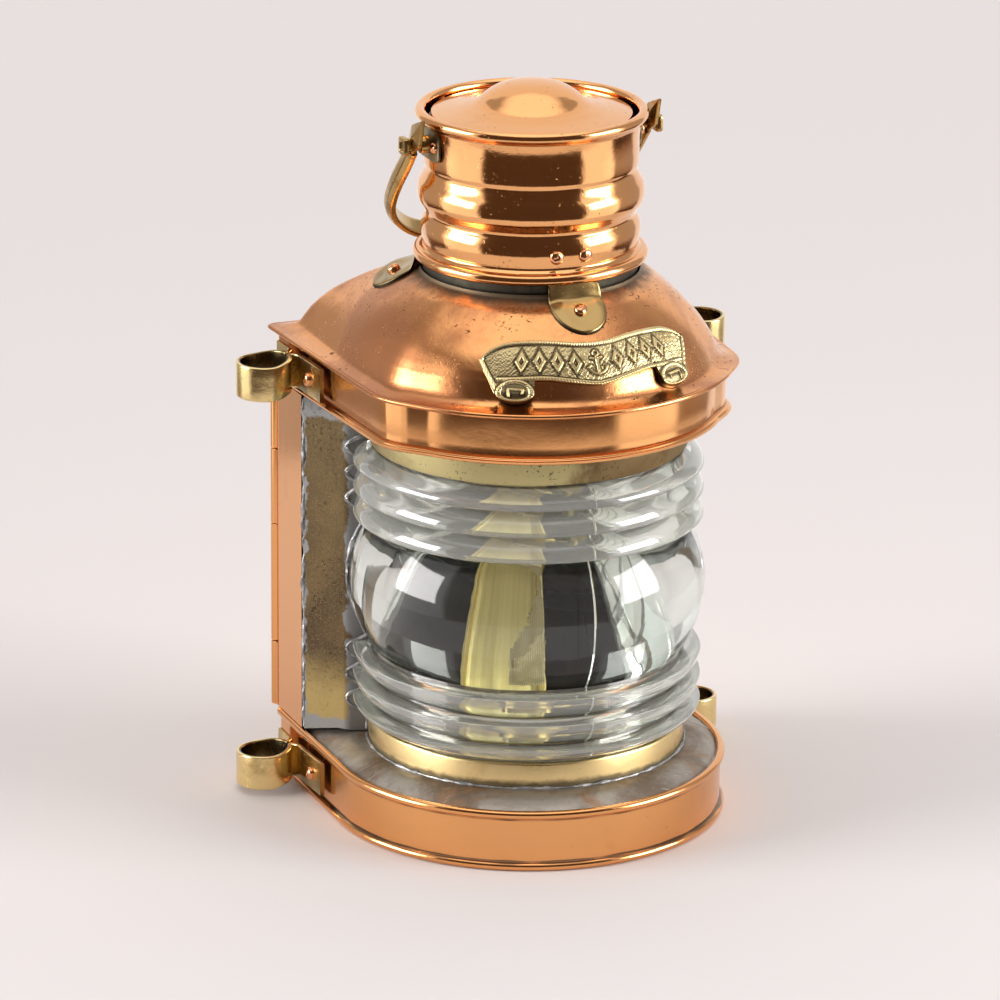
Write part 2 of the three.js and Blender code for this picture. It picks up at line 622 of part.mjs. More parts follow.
function handle() {
  const path = handlePath();
  const half = { thick: 1.65, wide: 3.5 };
  const rings = path.map(([x, y], i) => {
    const [ax, ay] = path[Math.max(0, i - 1)];
    const [bx, by] = path[Math.min(path.length - 1, i + 1)];
    const side = new THREE.Vector2(by - ay, ax - bx).normalize();
    const ring = [[1, 0.45], [0.2, 1], [-0.8, 1], [-1, 0.6], [-1, -0.6], [-0.8, -1], [0.2, -1], [1, -0.45]];
    side.multiplyScalar(half.thick);
    return ring.map(([t, w]) => new THREE.Vector3(x + side.x * t, y + side.y * t, w * half.wide));
  });
  const leaf = (side) => {
    const outline = [[-3, 0], [-4.6, 6], [0, 15.5], [4.6, 6], [3, 0], [2.6, -5], [-2.6, -5]];
    const g = prism(outline, -half.thick, half.thick).rotateX(HALF).rotateZ(HALF);
    return g.rotateX(HALF).translate(side * HANDLE_X, 0, 0);
  };
  const hole = new THREE.CylinderGeometry(2.25, 2.25, 12, 16).rotateZ(HALF);
  const holes = [-1, 1].map((side) => hole.clone().translate(side * HANDLE_X, 0, 0));
  return cut(join(loft(rings, false), leaf(-1), leaf(1)), ...holes).applyMatrix4(handleFrame);
}
add("handle", handle(), "brass");

for (const [name, side] of [["left", -1], ["right", 1]]) {
  const rows = Array.from({ length: 7 }, (_, i) => rad(side * 90 + (i - 3) * 4.3));
  const section = [[37.3, 237.6], [38.4, 237.6], [38.4, 248.2], [37.3, 248.2]];
  add("ear_" + name, loft(rows.map((a) => section.map(([r, z]) => around(a, r, z))), false), "brass");
  const pin = [[0, 0], [3.1, 0], [3.1, 4.2], [1.85, 4.2], [1.85, 9.2], [3.6, 9.2], [3.2, 10.4], [0, 11]];
  const out = new THREE.Vector3(side, 0, 0);
  add("pivot_" + name, turnedAlong(pin, new THREE.Vector3(side * 38.75, 0, PIVOT_Z), out), "brass");
  for (const [place, y] of [["front", -6], ["rear", 6]]) {
    const out = new THREE.Vector3(side * Math.sqrt(38.4 ** 2 - y * y), y, 0);
    addRivet("rivet_ear_" + name + "_" + place, out.clone().setZ(PIVOT_Z), out, 2.0);
  }
}

// ---- Lugs: strip bent into an open loop, with a leaf each way along the wall ----
function lugOutline(neck, foreLeaf, aftLeaf) {
  const centre = [];
  const inner = GAP + STRIP / 2;
  const flank = STRIP / 2 + 0.35;
  const middle = LUG_EYE_RADIUS + STRIP / 2;
  const open = Math.asin(flank / middle);
  centre.push([-foreLeaf, inner], [-flank - 1.2, inner], [-flank - 0.3, inner + 0.5], [-flank, inner + 1.4]);
  for (let i = 0; i <= 16; i += 1) {
    const a = Math.PI + open + ((2 * Math.PI - 2 * open) * i) / 16;
    centre.push([middle * Math.sin(a), neck + middle * Math.cos(a)]);
  }
  centre.push([flank, inner + 1.4], [flank + 0.3, inner + 0.5], [flank + 1.2, inner], [aftLeaf, inner]);
  const side = (sign) =>
    centre.map(([s, n], i) => {
      const [as, an] = centre[Math.max(0, i - 1)];
      const [bs, bn] = centre[Math.min(centre.length - 1, i + 1)];
      const length = Math.hypot(bs - as, bn - an);
      return [s + (sign * (STRIP / 2) * (an - bn)) / length, n + (sign * (STRIP / 2) * (bs - as)) / length];
    });
  return [...side(1), ...side(-1).reverse()];
}

const ROOF_TAPER = Math.atan2(PANEL_X - 63.7, REAR_Y + 28.2);
const roofWallX = PANEL_X - (REAR_Y - LUG_EYE_Y) * Math.tan(ROOF_TAPER);
const LUGS = {
  lower: { z: LOWER_LUG_Z, wallX: BASE_RADIUS, taper: 0, fore: 28.2, aft: 14.4, rivets: [-19, 9.2] },
  upper: { z: UPPER_LUG_Z, wallX: roofWallX, taper: ROOF_TAPER, fore: 22.6, aft: 14.4, rivets: [-12.8, 9.2] },
};
for (const [level, lug] of Object.entries(LUGS)) {
  for (const [name, side] of [["left", -1], ["right", 1]]) {
    // Local s runs backwards along the wall and n outwards from it.
    const place = ([s, n]) => {
      const x = lug.wallX + n * Math.cos(lug.taper) + s * Math.sin(lug.taper);
      return [side * x, LUG_EYE_Y + s * Math.cos(lug.taper) - n * Math.sin(lug.taper)];
    };
    const outline = lugOutline(LUG_EYE_X - lug.wallX, lug.fore, lug.aft).map(place);
    add("lug_" + level + "_" + name, prism(outline, lug.z, lug.z + LUG_HEIGHT), "brass");
    lug.rivets.forEach((s, i) => {
      const [x, y] = place([s, GAP + STRIP]);
      const [ox, oy] = place([s, GAP + STRIP + 1]);
      const label = "rivet_lug_" + level + "_" + name + (i ? "_rear" : "_front");
      addRivet(label, new THREE.Vector3(x, y, lug.z + LUG_HEIGHT * 0.48), new THREE.Vector3(ox - x, oy - y, 0));
    });
  }
}

// ---- Inside: reflector, oil font, burner, wick and its knob ----
const reflectorPath = [[-14.5, 20.4], [-14.5, 23.4], [14.5, 23.4], [14.5, 20.4]];
const reflectorFeet = reflectorPath.map(() => COLLAR_Z + GAP);
add("reflector", wall(reflectorPath, 0.9, reflectorFeet, PANEL_TOP_Z), "brass");
const FONT = [[0, 4.5], [39.5, 4.5], [39.5, 25.4], [43.4, 25.4], [43.4, 26.4], [38, 26.8], [36, 29.4], [0, 29.4]];
add("oil_font", cut(turned(FONT), box(-16, 16, 20, 26, 25, 31)), "brass");
const FILLER_CAP = [[0, 29.7], [5.5, 29.7], [5.5, 32.7], [4.6, 33.7], [0, 33.9]];
add("filler_cap", turned(FILLER_CAP, 14).translate(-27, 0, 0), "brass");

const burnerBody = turned([[0, 29.7], [15, 29.7], [15, 34], [11, 38.5], [9, 42], [9, 51], [0, 52]], 16);
const knobBoss = new THREE.CylinderGeometry(3.5, 3.5, 9, 12).rotateZ(HALF).translate(10.5, 0, WICK_KNOB_Z);
const knobBore = new THREE.CylinderGeometry(1.4, 1.4, 8, 12).rotateZ(HALF).translate(12.4, 0, WICK_KNOB_Z);
const wickSlot = box(-6.9, 6.9, -1.5, 1.5, 32.5, 70);
add("burner", cut(join(burnerBody, box(-8.2, 8.2, -2.7, 2.7, 48, 62), knobBoss), knobBore, wickSlot), "brass");
add("wick", box(-6.5, 6.5, -1.1, 1.1, 37, 63.5), "cotton");
const KNOB = [[0, 0], [1.2, 0], [1.2, 15], [5.6, 15.4], [6, 16.4], [6, 17.8], [5.4, 18.6], [0, 18.8]];
add("wick_knob", turnedAlong(KNOB, new THREE.Vector3(8.8, 0, WICK_KNOB_Z), new THREE.Vector3(1, 0, 0)), "brass");

export default lantern;
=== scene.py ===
import bmesh
import bpy
import numpy as np
from mathutils import Matrix, Vector


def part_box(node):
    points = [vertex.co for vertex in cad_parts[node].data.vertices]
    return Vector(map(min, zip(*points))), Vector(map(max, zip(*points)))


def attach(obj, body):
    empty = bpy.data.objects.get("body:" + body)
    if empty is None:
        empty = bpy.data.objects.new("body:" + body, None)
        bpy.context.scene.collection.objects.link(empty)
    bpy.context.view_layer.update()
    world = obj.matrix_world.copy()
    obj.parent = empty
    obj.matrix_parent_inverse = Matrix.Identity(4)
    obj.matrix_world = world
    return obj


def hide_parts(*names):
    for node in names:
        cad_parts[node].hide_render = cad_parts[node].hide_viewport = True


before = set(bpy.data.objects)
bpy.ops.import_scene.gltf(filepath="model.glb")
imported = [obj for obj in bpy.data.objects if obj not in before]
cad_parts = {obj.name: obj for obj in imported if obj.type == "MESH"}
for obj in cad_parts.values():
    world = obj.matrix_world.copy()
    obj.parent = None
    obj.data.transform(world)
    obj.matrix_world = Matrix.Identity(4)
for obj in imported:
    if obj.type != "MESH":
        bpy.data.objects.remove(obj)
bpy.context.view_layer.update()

# ---- Driving dimensions, in millimetres ----
# The origin is on the lens axis, at the underside of the base. The front faces -Y and up is +Z.
SHEET = 1.0
PLAN_STEP = 0.8
BASE_RADIUS = 68.6
REAR_Y = 65.7
BEAD = 1.5
BASE_BEAD_Z = 20.3
BASE_CREASES = (3.1, 18.5)
DECK_Z = 25.0
DECK_HOLE = 41.5
LENS_RADIUS = 61.0
LENS_BELT_RADIUS = 61.9
LENS_SHANK = 54.0
LENS_BORE = 49.5
LENS_BELT_Z = 83.7
LENS_BELT_HALF = 23.3
LENS_ENDS = (31.5, 136.5)
LENS_HALF_ANGLE = 112.5
RIDGE_PITCH = 9.35
LOWER_RIDGE_Z = 59.1
UPPER_RIDGE_Z = 108.2
PANEL_X = 69.3
PANEL_FRONT_Y = 39.7
PANEL_FOOT_Z = 22.1
PANEL_TOP_Z = 145.1
ROOF_RADIUS = 66.0
ROOF_KINK = (63.7, -28.2)
ROOF_BEAD_Z = 146.8
ROOF_BEAD = 1.3
BAND_TOP_Z = 162.9
NECK_RADIUS = 38.0
FLANGE_RADIUS = 71.6
CHIMNEY_RADIUS = 38.0
PIVOT_Z = 243.0
PIVOT_X = 38.75
HANDLE_X = 43.5
HANDLE_REACH = 63.2
HANDLE_DROOP = 46.5
LUG_EYE = (82.1, 43.6)
LUG_EYE_RADIUS = 8.3
STRIP = 1.6
LUG_HEIGHT = 12.2
HINGE = (-68.4, 68.1)
BUTTON = (63.5, 83.0)
DOOR_Y = 66.1
KNUCKLE_ENDS = (PANEL_FOOT_Z, 46, 90, 118, PANEL_TOP_Z)
KNUCKLE_GAP = 0.15
FILLER_X = -27.0
WICK_KNOB_Z = 46.5
WICK_KNOB_X = 8.8
TABLE_RADIUS = 448
FLOOR_DROP = 0.05
CAMERA_AZIMUTH = -22.03


# ---- Camera and studio ----
def make_camera():
    """A long lens looking a little down at the left front quarter, with a hand-set tripod's slight roll."""
    azimuth = np.radians(CAMERA_AZIMUTH)
    height = np.radians(18.19)
    roll = np.radians(0.48)
    back = np.array([np.sin(azimuth) * np.cos(height), -np.cos(azimuth) * np.cos(height), np.sin(height)])
    right = np.array([np.cos(azimuth), np.sin(azimuth), 0.0])
    up = np.cross(back, right)
    across = right * np.cos(roll) + up * np.sin(roll)
    upright = up * np.cos(roll) - right * np.sin(roll)
    aim = right * -0.009737 + np.array([0.0, 0.0, 0.11128])
    place = aim + back * 2.1968
    camera = bpy.data.objects.new("camera", bpy.data.cameras.new("camera"))
    bpy.context.scene.collection.objects.link(camera)
    turn = Matrix((across, upright, back)).transposed().to_4x4()
    camera.matrix_world = Matrix.Translation(Vector(place)) @ turn
    camera.data.lens = 227.24
    camera.data.sensor_width = 36.0
    camera.data.clip_start = 0.05
    camera.data.clip_end = 50.0
    bpy.context.scene.camera = camera


make_camera()


# ---- Curves in a plane or in space ----
def spline(points, count):
    """A Catmull-Rom curve through the points: each span blends its four nearest points with cubic weights."""
    points = np.asarray(points, float)
    spans = len(points) - 1
    t = np.linspace(0, spans, count)
    i = np.minimum(t.astype(int), spans - 1)
    f = (t - i)[:, None]
    padded = np.vstack([2 * points[0] - points[1], points, 2 * points[-1] - points[-2]])
    a, b, c, d = (padded[i + k] for k in (0, 1, 2, 3))
    return 0.5 * (2 * b + (c - a) * f + (2 * a - 5 * b + 4 * c - d) * f**2 + (3 * b - 3 * c + d - a) * f**3)


def filleted(points, radii, closed=True, steps=6):
    """A polygon whose corners become arcs: each arc is a quadratic curve between two points on the sides."""
    points = np.asarray(points, float)
    size = len(points)
    radii = np.broadcast_to(np.asarray(radii, float), (size,))
    made = []
    for i in range(size):
        here = points[i]
        if radii[i] <= 0 or (not closed and i in (0, size - 1)):
            made.append(here[None])
            continue
        before = points[i - 1] - here
        after = points[(i + 1) % size] - here
        first = here + before * min(0.5, radii[i] / np.linalg.norm(before))
        last = here + after * min(0.5, radii[i] / np.linalg.norm(after))
        t = np.linspace(0, 1, steps)[:, None]
        made.append(first * (1 - t) ** 2 + 2 * here * t * (1 - t) + last * t**2)
    return np.vstack(made)


def respaced(points, step, closed=True):
    """The same line with its points an even step apart along it."""
    line = np.vstack([points, points[:1]]) if closed else np.asarray(points, float)
    run = np.concatenate([[0], np.cumsum(np.linalg.norm(np.diff(line, axis=0), axis=1))])
    count = max(3, int(run[-1] / step))
    at = np.linspace(0, run[-1], count, endpoint=not closed)
    return np.stack([np.interp(at, run, line[:, k]) for k in range(line.shape[1])], axis=1)


def arc(centre, radius, start, end, steps):
    """Points on a circle from one angle to another, in degrees."""
    a = np.radians(np.linspace(start, end, steps))
    return np.stack([centre[0] + radius * np.cos(a), centre[1] + radius * np.sin(a)], axis=1)


def outward(line, closed=True):
    """Unit normals of a plan line, on its right-hand side, from the direction between its neighbours."""
    if closed:
        run = np.roll(line, -1, axis=0) - np.roll(line, 1, axis=0)
    else:
        run = np.gradient(line, axis=0)
    run = run / np.linalg.norm(run, axis=1)[:, None]
    return np.stack([run[:, 1], -run[:, 0]], axis=1)


def front(azimuth, radius, z):
    """Points at an azimuth from the front in degrees, positive to the right, at a radius and a height."""
    a = np.radians(azimuth)
    azimuths, radii, heights = np.broadcast_arrays(a, radius, z)
    return np.stack([radii * np.sin(azimuths), -radii * np.cos(azimuths), heights], axis=-1)


def wander(at, seed, pitch):
    """A smooth irregular wave from -1 to 1: five sines of unrelated lengths and phases."""
    pick = np.random.default_rng(seed)
    lengths = pitch * pick.uniform(0.6, 2.6, 5)
    phases = pick.uniform(0, 2 * np.pi, 5)
    return sum(np.sin(2 * np.pi * at / length + phase) for length, phase in zip(lengths, phases)) / 3.2


# ---- Skins ----
def skin(
    name, grid, finish, body="lantern", around=True, along=False, caps=False, stands_for=(), crease=38,
    relief=None,
):
    """A mesh over a grid of points: quads between neighbouring rows and columns, joined round where asked.

    A closed skin has its doubles merged, its poles closed and its faces turned outwards. A relief, one number
    for each point, is kept as an attribute that the material reads as painted shade.
    """
    grid = np.asarray(grid, float)
    rows, columns = grid.shape[:2]
    index = np.arange(rows * columns).reshape(rows, columns)
    if along:
        index = np.vstack([index, index[:1]])
    if around:
        index = np.hstack([index, index[:, :1]])
    quads = np.stack([index[:-1, :-1], index[:-1, 1:], index[1:, 1:], index[1:, :-1]], axis=-1).reshape(-1, 4)
    faces = quads.tolist()
    if caps:
        faces.append(index[0, :columns][::-1].tolist())
        faces.append(index[rows - 1, :columns].tolist())
    mesh = bpy.data.meshes.new(name)
    mesh.from_pydata((grid.reshape(-1, 3) * 0.001).tolist(), [], faces)
    if relief is not None:
        layer = mesh.attributes.new("relief", "FLOAT", "POINT")
        layer.data.foreach_set("value", np.asarray(relief, np.float32).reshape(-1))
    work = bmesh.new()
    work.from_mesh(mesh)
    bmesh.ops.remove_doubles(work, verts=work.verts, dist=1e-6)
    bmesh.ops.dissolve_degenerate(work, edges=work.edges, dist=1e-7)
    bmesh.ops.recalc_face_normals(work, faces=work.faces)
    work.to_mesh(mesh)
    work.free()
    mesh.shade_smooth()
    mesh.set_sharp_from_angle(angle=np.radians(crease))
    piece = bpy.data.objects.new(name, mesh)
    bpy.context.scene.collection.objects.link(piece)
    material, slot = finish
    mesh.materials.append(material)
    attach(piece, body)
    if stands_for:
        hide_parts(*stands_for)
    return piece


def turned(profile, start=(0, 0, 0), direction=(0, 0, 1), segments=96, squareness=None):
    """A profile of radius and distance turned about an axis.

    Squareness is the power of a superellipse that the circle becomes: its corners sharpen as it grows.
    """
    profile = np.asarray(profile, float)
    axis = np.asarray(direction, float) / np.linalg.norm(direction)
    helper = np.array([0, 0, 1.0]) if abs(axis[2]) < 0.9 else np.array([0, 1.0, 0])
    side = np.cross(helper, axis)
    side = side / np.linalg.norm(side)
    other = np.cross(axis, side)
    a = np.linspace(0, 2 * np.pi, segments, endpoint=False)[:, None]
    grow = 1.0
    if squareness:
        grow = (np.abs(np.cos(a)) ** squareness + np.abs(np.sin(a)) ** squareness) ** (-1 / squareness)
    r = profile[None, :, 0] * grow
    ring = r[..., None] * (np.cos(a)[..., None] * side + np.sin(a)[..., None] * other)
    return np.asarray(start, float) + ring + profile[None, :, 1, None] * axis


def carried(plan, section):
    """A section of outward distance and height carried round a closed plan line."""
    flat = plan[:, None, :] + outward(plan)[:, None, :] * section[None, :, 0, None]
    height = np.broadcast_to(section[None, :, 1], flat.shape[:2])
    return np.concatenate([flat, height[..., None]], axis=2)


def standing(plan, thickness, feet, top, lip=0.18):
    """A sheet standing on an open plan line: a tall rounded rectangle carried along it."""
    half = thickness / 2
    normal = outward(plan, closed=False)
    feet = np.broadcast_to(np.asarray(feet, float), (len(plan),))
    across = np.array([half - lip, half, half, half, half - lip, lip - half, -half, -half, -half, lip - half])
    share = np.array([0, 0, 0.5, 1, 1, 1, 1, 0.5, 0, 0])
    nudge = np.array([0, lip, 0, -lip, 0, 0, -lip, 0, lip, 0])
    flat = plan[:, None, :] + normal[:, None, :] * across[None, :, None]
    height = feet[:, None] + (top - feet)[:, None] * share[None] + nudge[None]
    return np.concatenate([flat, height[..., None]], axis=2)


def pad(outline, low, high, edge=0.3, crown=0.0):
    """A plate over an outline, as rings that shrink to its middle on both faces, with a rounded edge.

    Returns outline coordinates and heights; the crown lifts the upper face as one minus the squared share.
    """
    outline = np.asarray(outline, float)
    middle = (outline.max(0) + outline.min(0)) / 2
    size = np.linalg.norm(outline - middle, axis=1).mean()
    share = np.array([0, 0.2, 0.4, 0.6, 0.8, 0.92, 1 - edge / size, 1 - 0.3 * edge / size, 1])
    height = high + crown * (1 - share**2)
    height[-2] = height[-2] - 0.3 * edge
    height[-1] = height[-1] - edge
    share = np.concatenate([share, [1, 1 - edge / size, 0.5, 0]])
    height = np.concatenate([height, [low + edge, low, low, low]])
    flat = middle + (outline - middle)[None] * share[:, None, None]
    tall = np.broadcast_to(height[:, None], flat.shape[:2])
    return flat, tall


def tube(line, radius, seed, finish, name, rough=0.35, sides=10, pitch=4.0):
    """A run of solder along a line in space: a round section whose radius and centre wander."""
    line = respaced(np.asarray(line, float), 0.55, closed=False)
    run = np.arange(len(line)) * 0.55
    size = radius * (1 + rough * wander(run, seed, pitch) + 0.4 * rough * wander(run, seed + 1, pitch / 4))
    size = np.maximum(size, radius * 0.25)
    ahead = np.gradient(line, axis=0)
    ahead = ahead / np.linalg.norm(ahead, axis=1)[:, None]
    helper = np.array([0.0, 0.0, 1.0]) if np.abs(ahead[:, 2]).mean() < 0.8 else np.array([1.0, 0.0, 0.0])
    side = np.cross(ahead, helper) + 1e-9
    side = side / np.linalg.norm(side, axis=1)[:, None]
    up = np.cross(side, ahead)
    a = np.linspace(0, 2 * np.pi, sides, endpoint=False)
    bumps = 1 + 0.18 * np.sin(3 * a[None] + run[:, None] * 0.9 + seed)
    reach = (size[:, None] * bumps)[..., None]
    ring = reach * (np.cos(a)[None, :, None] * side[:, None] + np.sin(a)[None, :, None] * up[:, None])
    return skin(name, line[:, None] + ring, finish, caps=True, crease=70)


# ---- Shader helpers ----
def place(tree, kind, settings=None, inputs=None):
    """A node of one kind, with its settings, and its inputs set to a value or joined to another socket."""
    made = tree.nodes.new(kind)
    for key, value in (settings or {}).items():
        setattr(made, key, value)
    for key, value in (inputs or {}).items():
        if isinstance(value, bpy.types.NodeSocket):
            tree.links.new(value, made.inputs[key])
        else:
            made.inputs[key].default_value = value
    return made


def blend_of(tree, share, first, second):
    """The colour between two colours at a share."""
    settings = {"data_type": "RGBA"}
    return place(tree, "ShaderNodeMix", settings, {0: share, 6: first, 7: second}).outputs[2]


def maths(tree, operation, first, second=0.0, clamp=False):
    """A sum, product or other operation on one or two values."""
    settings = {"operation": operation, "use_clamp": clamp}
    return place(tree, "ShaderNodeMath", settings, {0: first, 1: second}).outputs[0]


def between(tree, value, low, high, start=0.0, end=1.0):
    """A value carried smoothly from one range to another and held at its ends."""
    settings = {"interpolation_type": "SMOOTHSTEP"}
    inputs = {"Value": value, "From Min": low, "From Max": high, "To Min": start, "To Max": end}
    return place(tree, "ShaderNodeMapRange", settings, inputs).outputs[0]


def cloud(tree, vector, scale, detail=4.0, rough=0.55, twist=0.0):
    """Cloudy noise, around a half."""
    inputs = {"Vector": vector, "Scale": scale, "Detail": detail, "Roughness": rough, "Distortion": twist}
    return place(tree, "ShaderNodeTexNoise", {}, inputs).outputs[0]


def stretched(tree, vector, scale):
    """The vector with each axis scaled."""
    return place(tree, "ShaderNodeMapping", {}, {"Vector": vector, "Scale": scale}).outputs[0]


def new_group(name, inputs, outputs):
    """A shader node group with typed, named sockets."""
    tree = bpy.data.node_groups.new(name, "ShaderNodeTree")
    for label, kind, value in inputs:
        socket = tree.interface.new_socket(label, in_out="INPUT", socket_type=kind)
        if value is not None:
            socket.default_value = value
    for label, kind in outputs:
        tree.interface.new_socket(label, in_out="OUTPUT", socket_type=kind)
    return tree, tree.nodes.new("NodeGroupInput"), tree.nodes.new("NodeGroupOutput")


FLOAT = "NodeSocketFloat"
COLOUR = "NodeSocketColor"
VECTOR = "NodeSocketVector"


def make_tarnish():
    """Bright metal, dull in clouds, dark in specks, painted shade in hollows, wipe marks and shallow dents.
    """
    inputs = [
        ("Vector", VECTOR, None),
        ("Bright", COLOUR, (0.8, 0.4, 0.25, 1)),
        ("Dull", COLOUR, (0.5, 0.25, 0.15, 1)),
        ("Dark", COLOUR, (0.08, 0.05, 0.03, 1)),
        ("Cloud size", FLOAT, 30.0),
        ("Dullness", FLOAT, 0.4),
        ("Specks", FLOAT, 0.3),
        ("Hollows", FLOAT, 0.6),
        ("Gloss", FLOAT, 0.16),
        ("Gloss spread", FLOAT, 0.2),
    ]
    outputs = [("Color", COLOUR), ("Roughness", FLOAT), ("Height", FLOAT)]
    tree, given, result = new_group("tarnish", inputs, outputs)
    vector = given.outputs["Vector"]
    size = given.outputs["Cloud size"]
    clouds = cloud(tree, vector, size, 6.0, 0.62, 0.4)
    dulled = maths(tree, "SUBTRACT", 0.78, maths(tree, "MULTIPLY", given.outputs["Dullness"], 0.5))
    mask = between(tree, clouds, dulled, maths(tree, "ADD", dulled, 0.22))
    speckle = cloud(tree, vector, maths(tree, "MULTIPLY", size, 26.0), 3.0, 0.7)
    limit = maths(tree, "SUBTRACT", 0.8, maths(tree, "MULTIPLY", given.outputs["Specks"], 0.28))
    spots = between(tree, speckle, limit, maths(tree, "ADD", limit, 0.05))
    patchy = between(tree, cloud(tree, vector, maths(tree, "MULTIPLY", size, 3.1), 3.0), 0.42, 0.6)
    spots = maths(tree, "MULTIPLY", spots, patchy)
    # Painted shade: where Pointiness is low, in hollows and creases, the colour darkens.
    hollow_shade = place(tree, "ShaderNodeNewGeometry").outputs["Pointiness"]
    hollow_shade = between(tree, hollow_shade, 0.49, 0.44)
    hollow_shade = maths(tree, "MULTIPLY", hollow_shade, given.outputs["Hollows"])
    dark = maths(tree, "MAXIMUM", spots, hollow_shade)
    colour = blend_of(tree, mask, given.outputs["Bright"], given.outputs["Dull"])
    tint = cloud(tree, vector, maths(tree, "MULTIPLY", size, 0.4), 2.0)
    colour = blend_of(tree, between(tree, tint, 0.35, 0.7, 0.0, 0.3), colour, given.outputs["Dull"])
    colour = blend_of(tree, dark, colour, given.outputs["Dark"])
    wipes = cloud(tree, stretched(tree, vector, (60.0, 60.0, 900.0)), 4.0, 3.0, 0.7)
    wiped = maths(tree, "MULTIPLY", maths(tree, "SUBTRACT", wipes, 0.5), 0.05)
    spread = maths(tree, "MULTIPLY", maths(tree, "ADD", maths(tree, "MULTIPLY", mask, 0.6), clouds), 0.7)
    rough = maths(tree, "MULTIPLY", spread, given.outputs["Gloss spread"])
    rough = maths(tree, "ADD", maths(tree, "ADD", rough, given.outputs["Gloss"]), wiped)
    rough = maths(tree, "ADD", rough, maths(tree, "MULTIPLY", dark, 0.25), clamp=True)
    height = maths(tree, "ADD", maths(tree, "MULTIPLY", clouds, 0.8), maths(tree, "MULTIPLY", wipes, 0.012))
    height = maths(tree, "SUBTRACT", height, maths(tree, "MULTIPLY", spots, 0.12))
    tree.links.new(colour, result.inputs["Color"])
    tree.links.new(rough, result.inputs["Roughness"])
    tree.links.new(height, result.inputs["Height"])
    return tree


def make_level_stain():
    """A ragged stain along the vector's third axis: none before one place, and all of it past the other."""
    inputs = [
        ("Vector", VECTOR, None),
        ("From height", FLOAT, 0.19),
        ("To height", FLOAT, 0.2),
        ("Raggedness", FLOAT, 0.004),
        ("Grain", FLOAT, 160.0),
    ]
    tree, given, result = new_group("level_stain", inputs, [("Mask", FLOAT)])
    vector = given.outputs["Vector"]
    height = place(tree, "ShaderNodeSeparateXYZ", {}, {0: vector}).outputs[2]
    ragged = maths(tree, "SUBTRACT", cloud(tree, vector, given.outputs["Grain"], 5.0, 0.65), 0.5)
    height = maths(tree, "ADD", height, maths(tree, "MULTIPLY", ragged, given.outputs["Raggedness"]))
    mask = between(tree, height, given.outputs["From height"], given.outputs["To height"])
    tree.links.new(mask, result.inputs["Mask"])
    return tree


TARNISH = make_tarnish()
LEVEL_STAIN = make_level_stain()


def start_material(name):
    """A material with a principled shader and Object coordinates."""
    material = bpy.data.materials.new(name)
    material.use_nodes = True
    tree = material.node_tree
    shader = tree.nodes["Principled BSDF"]
    vector = place(tree, "ShaderNodeTexCoord").outputs["Object"]
    return material, tree, shader, vector


def bumped(tree, shader, height, strength, distance):
    """The shader's normal, bent by a height."""
    bump = place(tree, "ShaderNodeBump", {}, {"Strength": strength, "Distance": distance, "Height": height})
    tree.links.new(bump.outputs[0], shader.inputs["Normal"])


def worn_metal(tree, vector, bright, dull, dark, size, dullness, specks, hollows, gloss, spread):
    """The tarnish group in a material, with its colours and amounts."""
    inputs = {
        "Vector": vector,
        "Bright": (*bright, 1),
        "Dull": (*dull, 1),
        "Dark": (*dark, 1),
        "Cloud size": size,
        "Dullness": dullness,
        "Specks": specks,
        "Hollows": hollows,
        "Gloss": gloss,
        "Gloss spread": spread,
    }
    return place(tree, "ShaderNodeGroup", {"node_tree": TARNISH}, inputs)


def stained(tree, vector, low, high, ragged):
    """The level stain group's mask in a material."""
    given = {"Vector": vector, "From height": low, "To height": high, "Raggedness": ragged}
    return place(tree, "ShaderNodeGroup", {"node_tree": LEVEL_STAIN}, given).outputs[0]


def metal(name, dark, dents=0.0006, stain=None, axis="Z", depth=None, **finish):
    """Sheet metal from the tarnish group.

    A stain is (colour, from, to, raggedness) along the axis. A depth attribute paints shade where it is low.
    """
    material, tree, shader, vector = start_material(name)
    worn = worn_metal(tree, vector, dark=dark, **finish)
    colour = worn.outputs["Color"]
    rough = worn.outputs["Roughness"]
    along = vector
    if axis == "X":
        parts = place(tree, "ShaderNodeSeparateXYZ", {}, {0: vector})
        flipped = {0: parts.outputs[1], 1: parts.outputs[2], 2: parts.outputs[0]}
        along = place(tree, "ShaderNodeCombineXYZ", {}, flipped).outputs[0]
    if stain:
        tone, low, high, ragged = stain
        mark = stained(tree, along, low, high, ragged)
        colour = blend_of(tree, maths(tree, "MULTIPLY", mark, 0.85), colour, (*tone, 1))
        rough = maths(tree, "ADD", rough, maths(tree, "MULTIPLY", mark, 0.3), clamp=True)
    if depth:
        # Painted shade: a low depth number darkens the colour towards the dark tone.
        painted_shade = place(tree, "ShaderNodeAttribute", {"attribute_name": depth}).outputs["Fac"]
        painted_shade = between(tree, painted_shade, 0.42, 0.12, 0.0, 0.82)
        colour = blend_of(tree, painted_shade, colour, (*dark, 1))
    shader.inputs["Metallic"].default_value = 1.0
    tree.links.new(colour, shader.inputs["Base Color"])
    tree.links.new(rough, shader.inputs["Roughness"])
    bumped(tree, shader, worn.outputs["Height"], 0.5, dents)
    return material


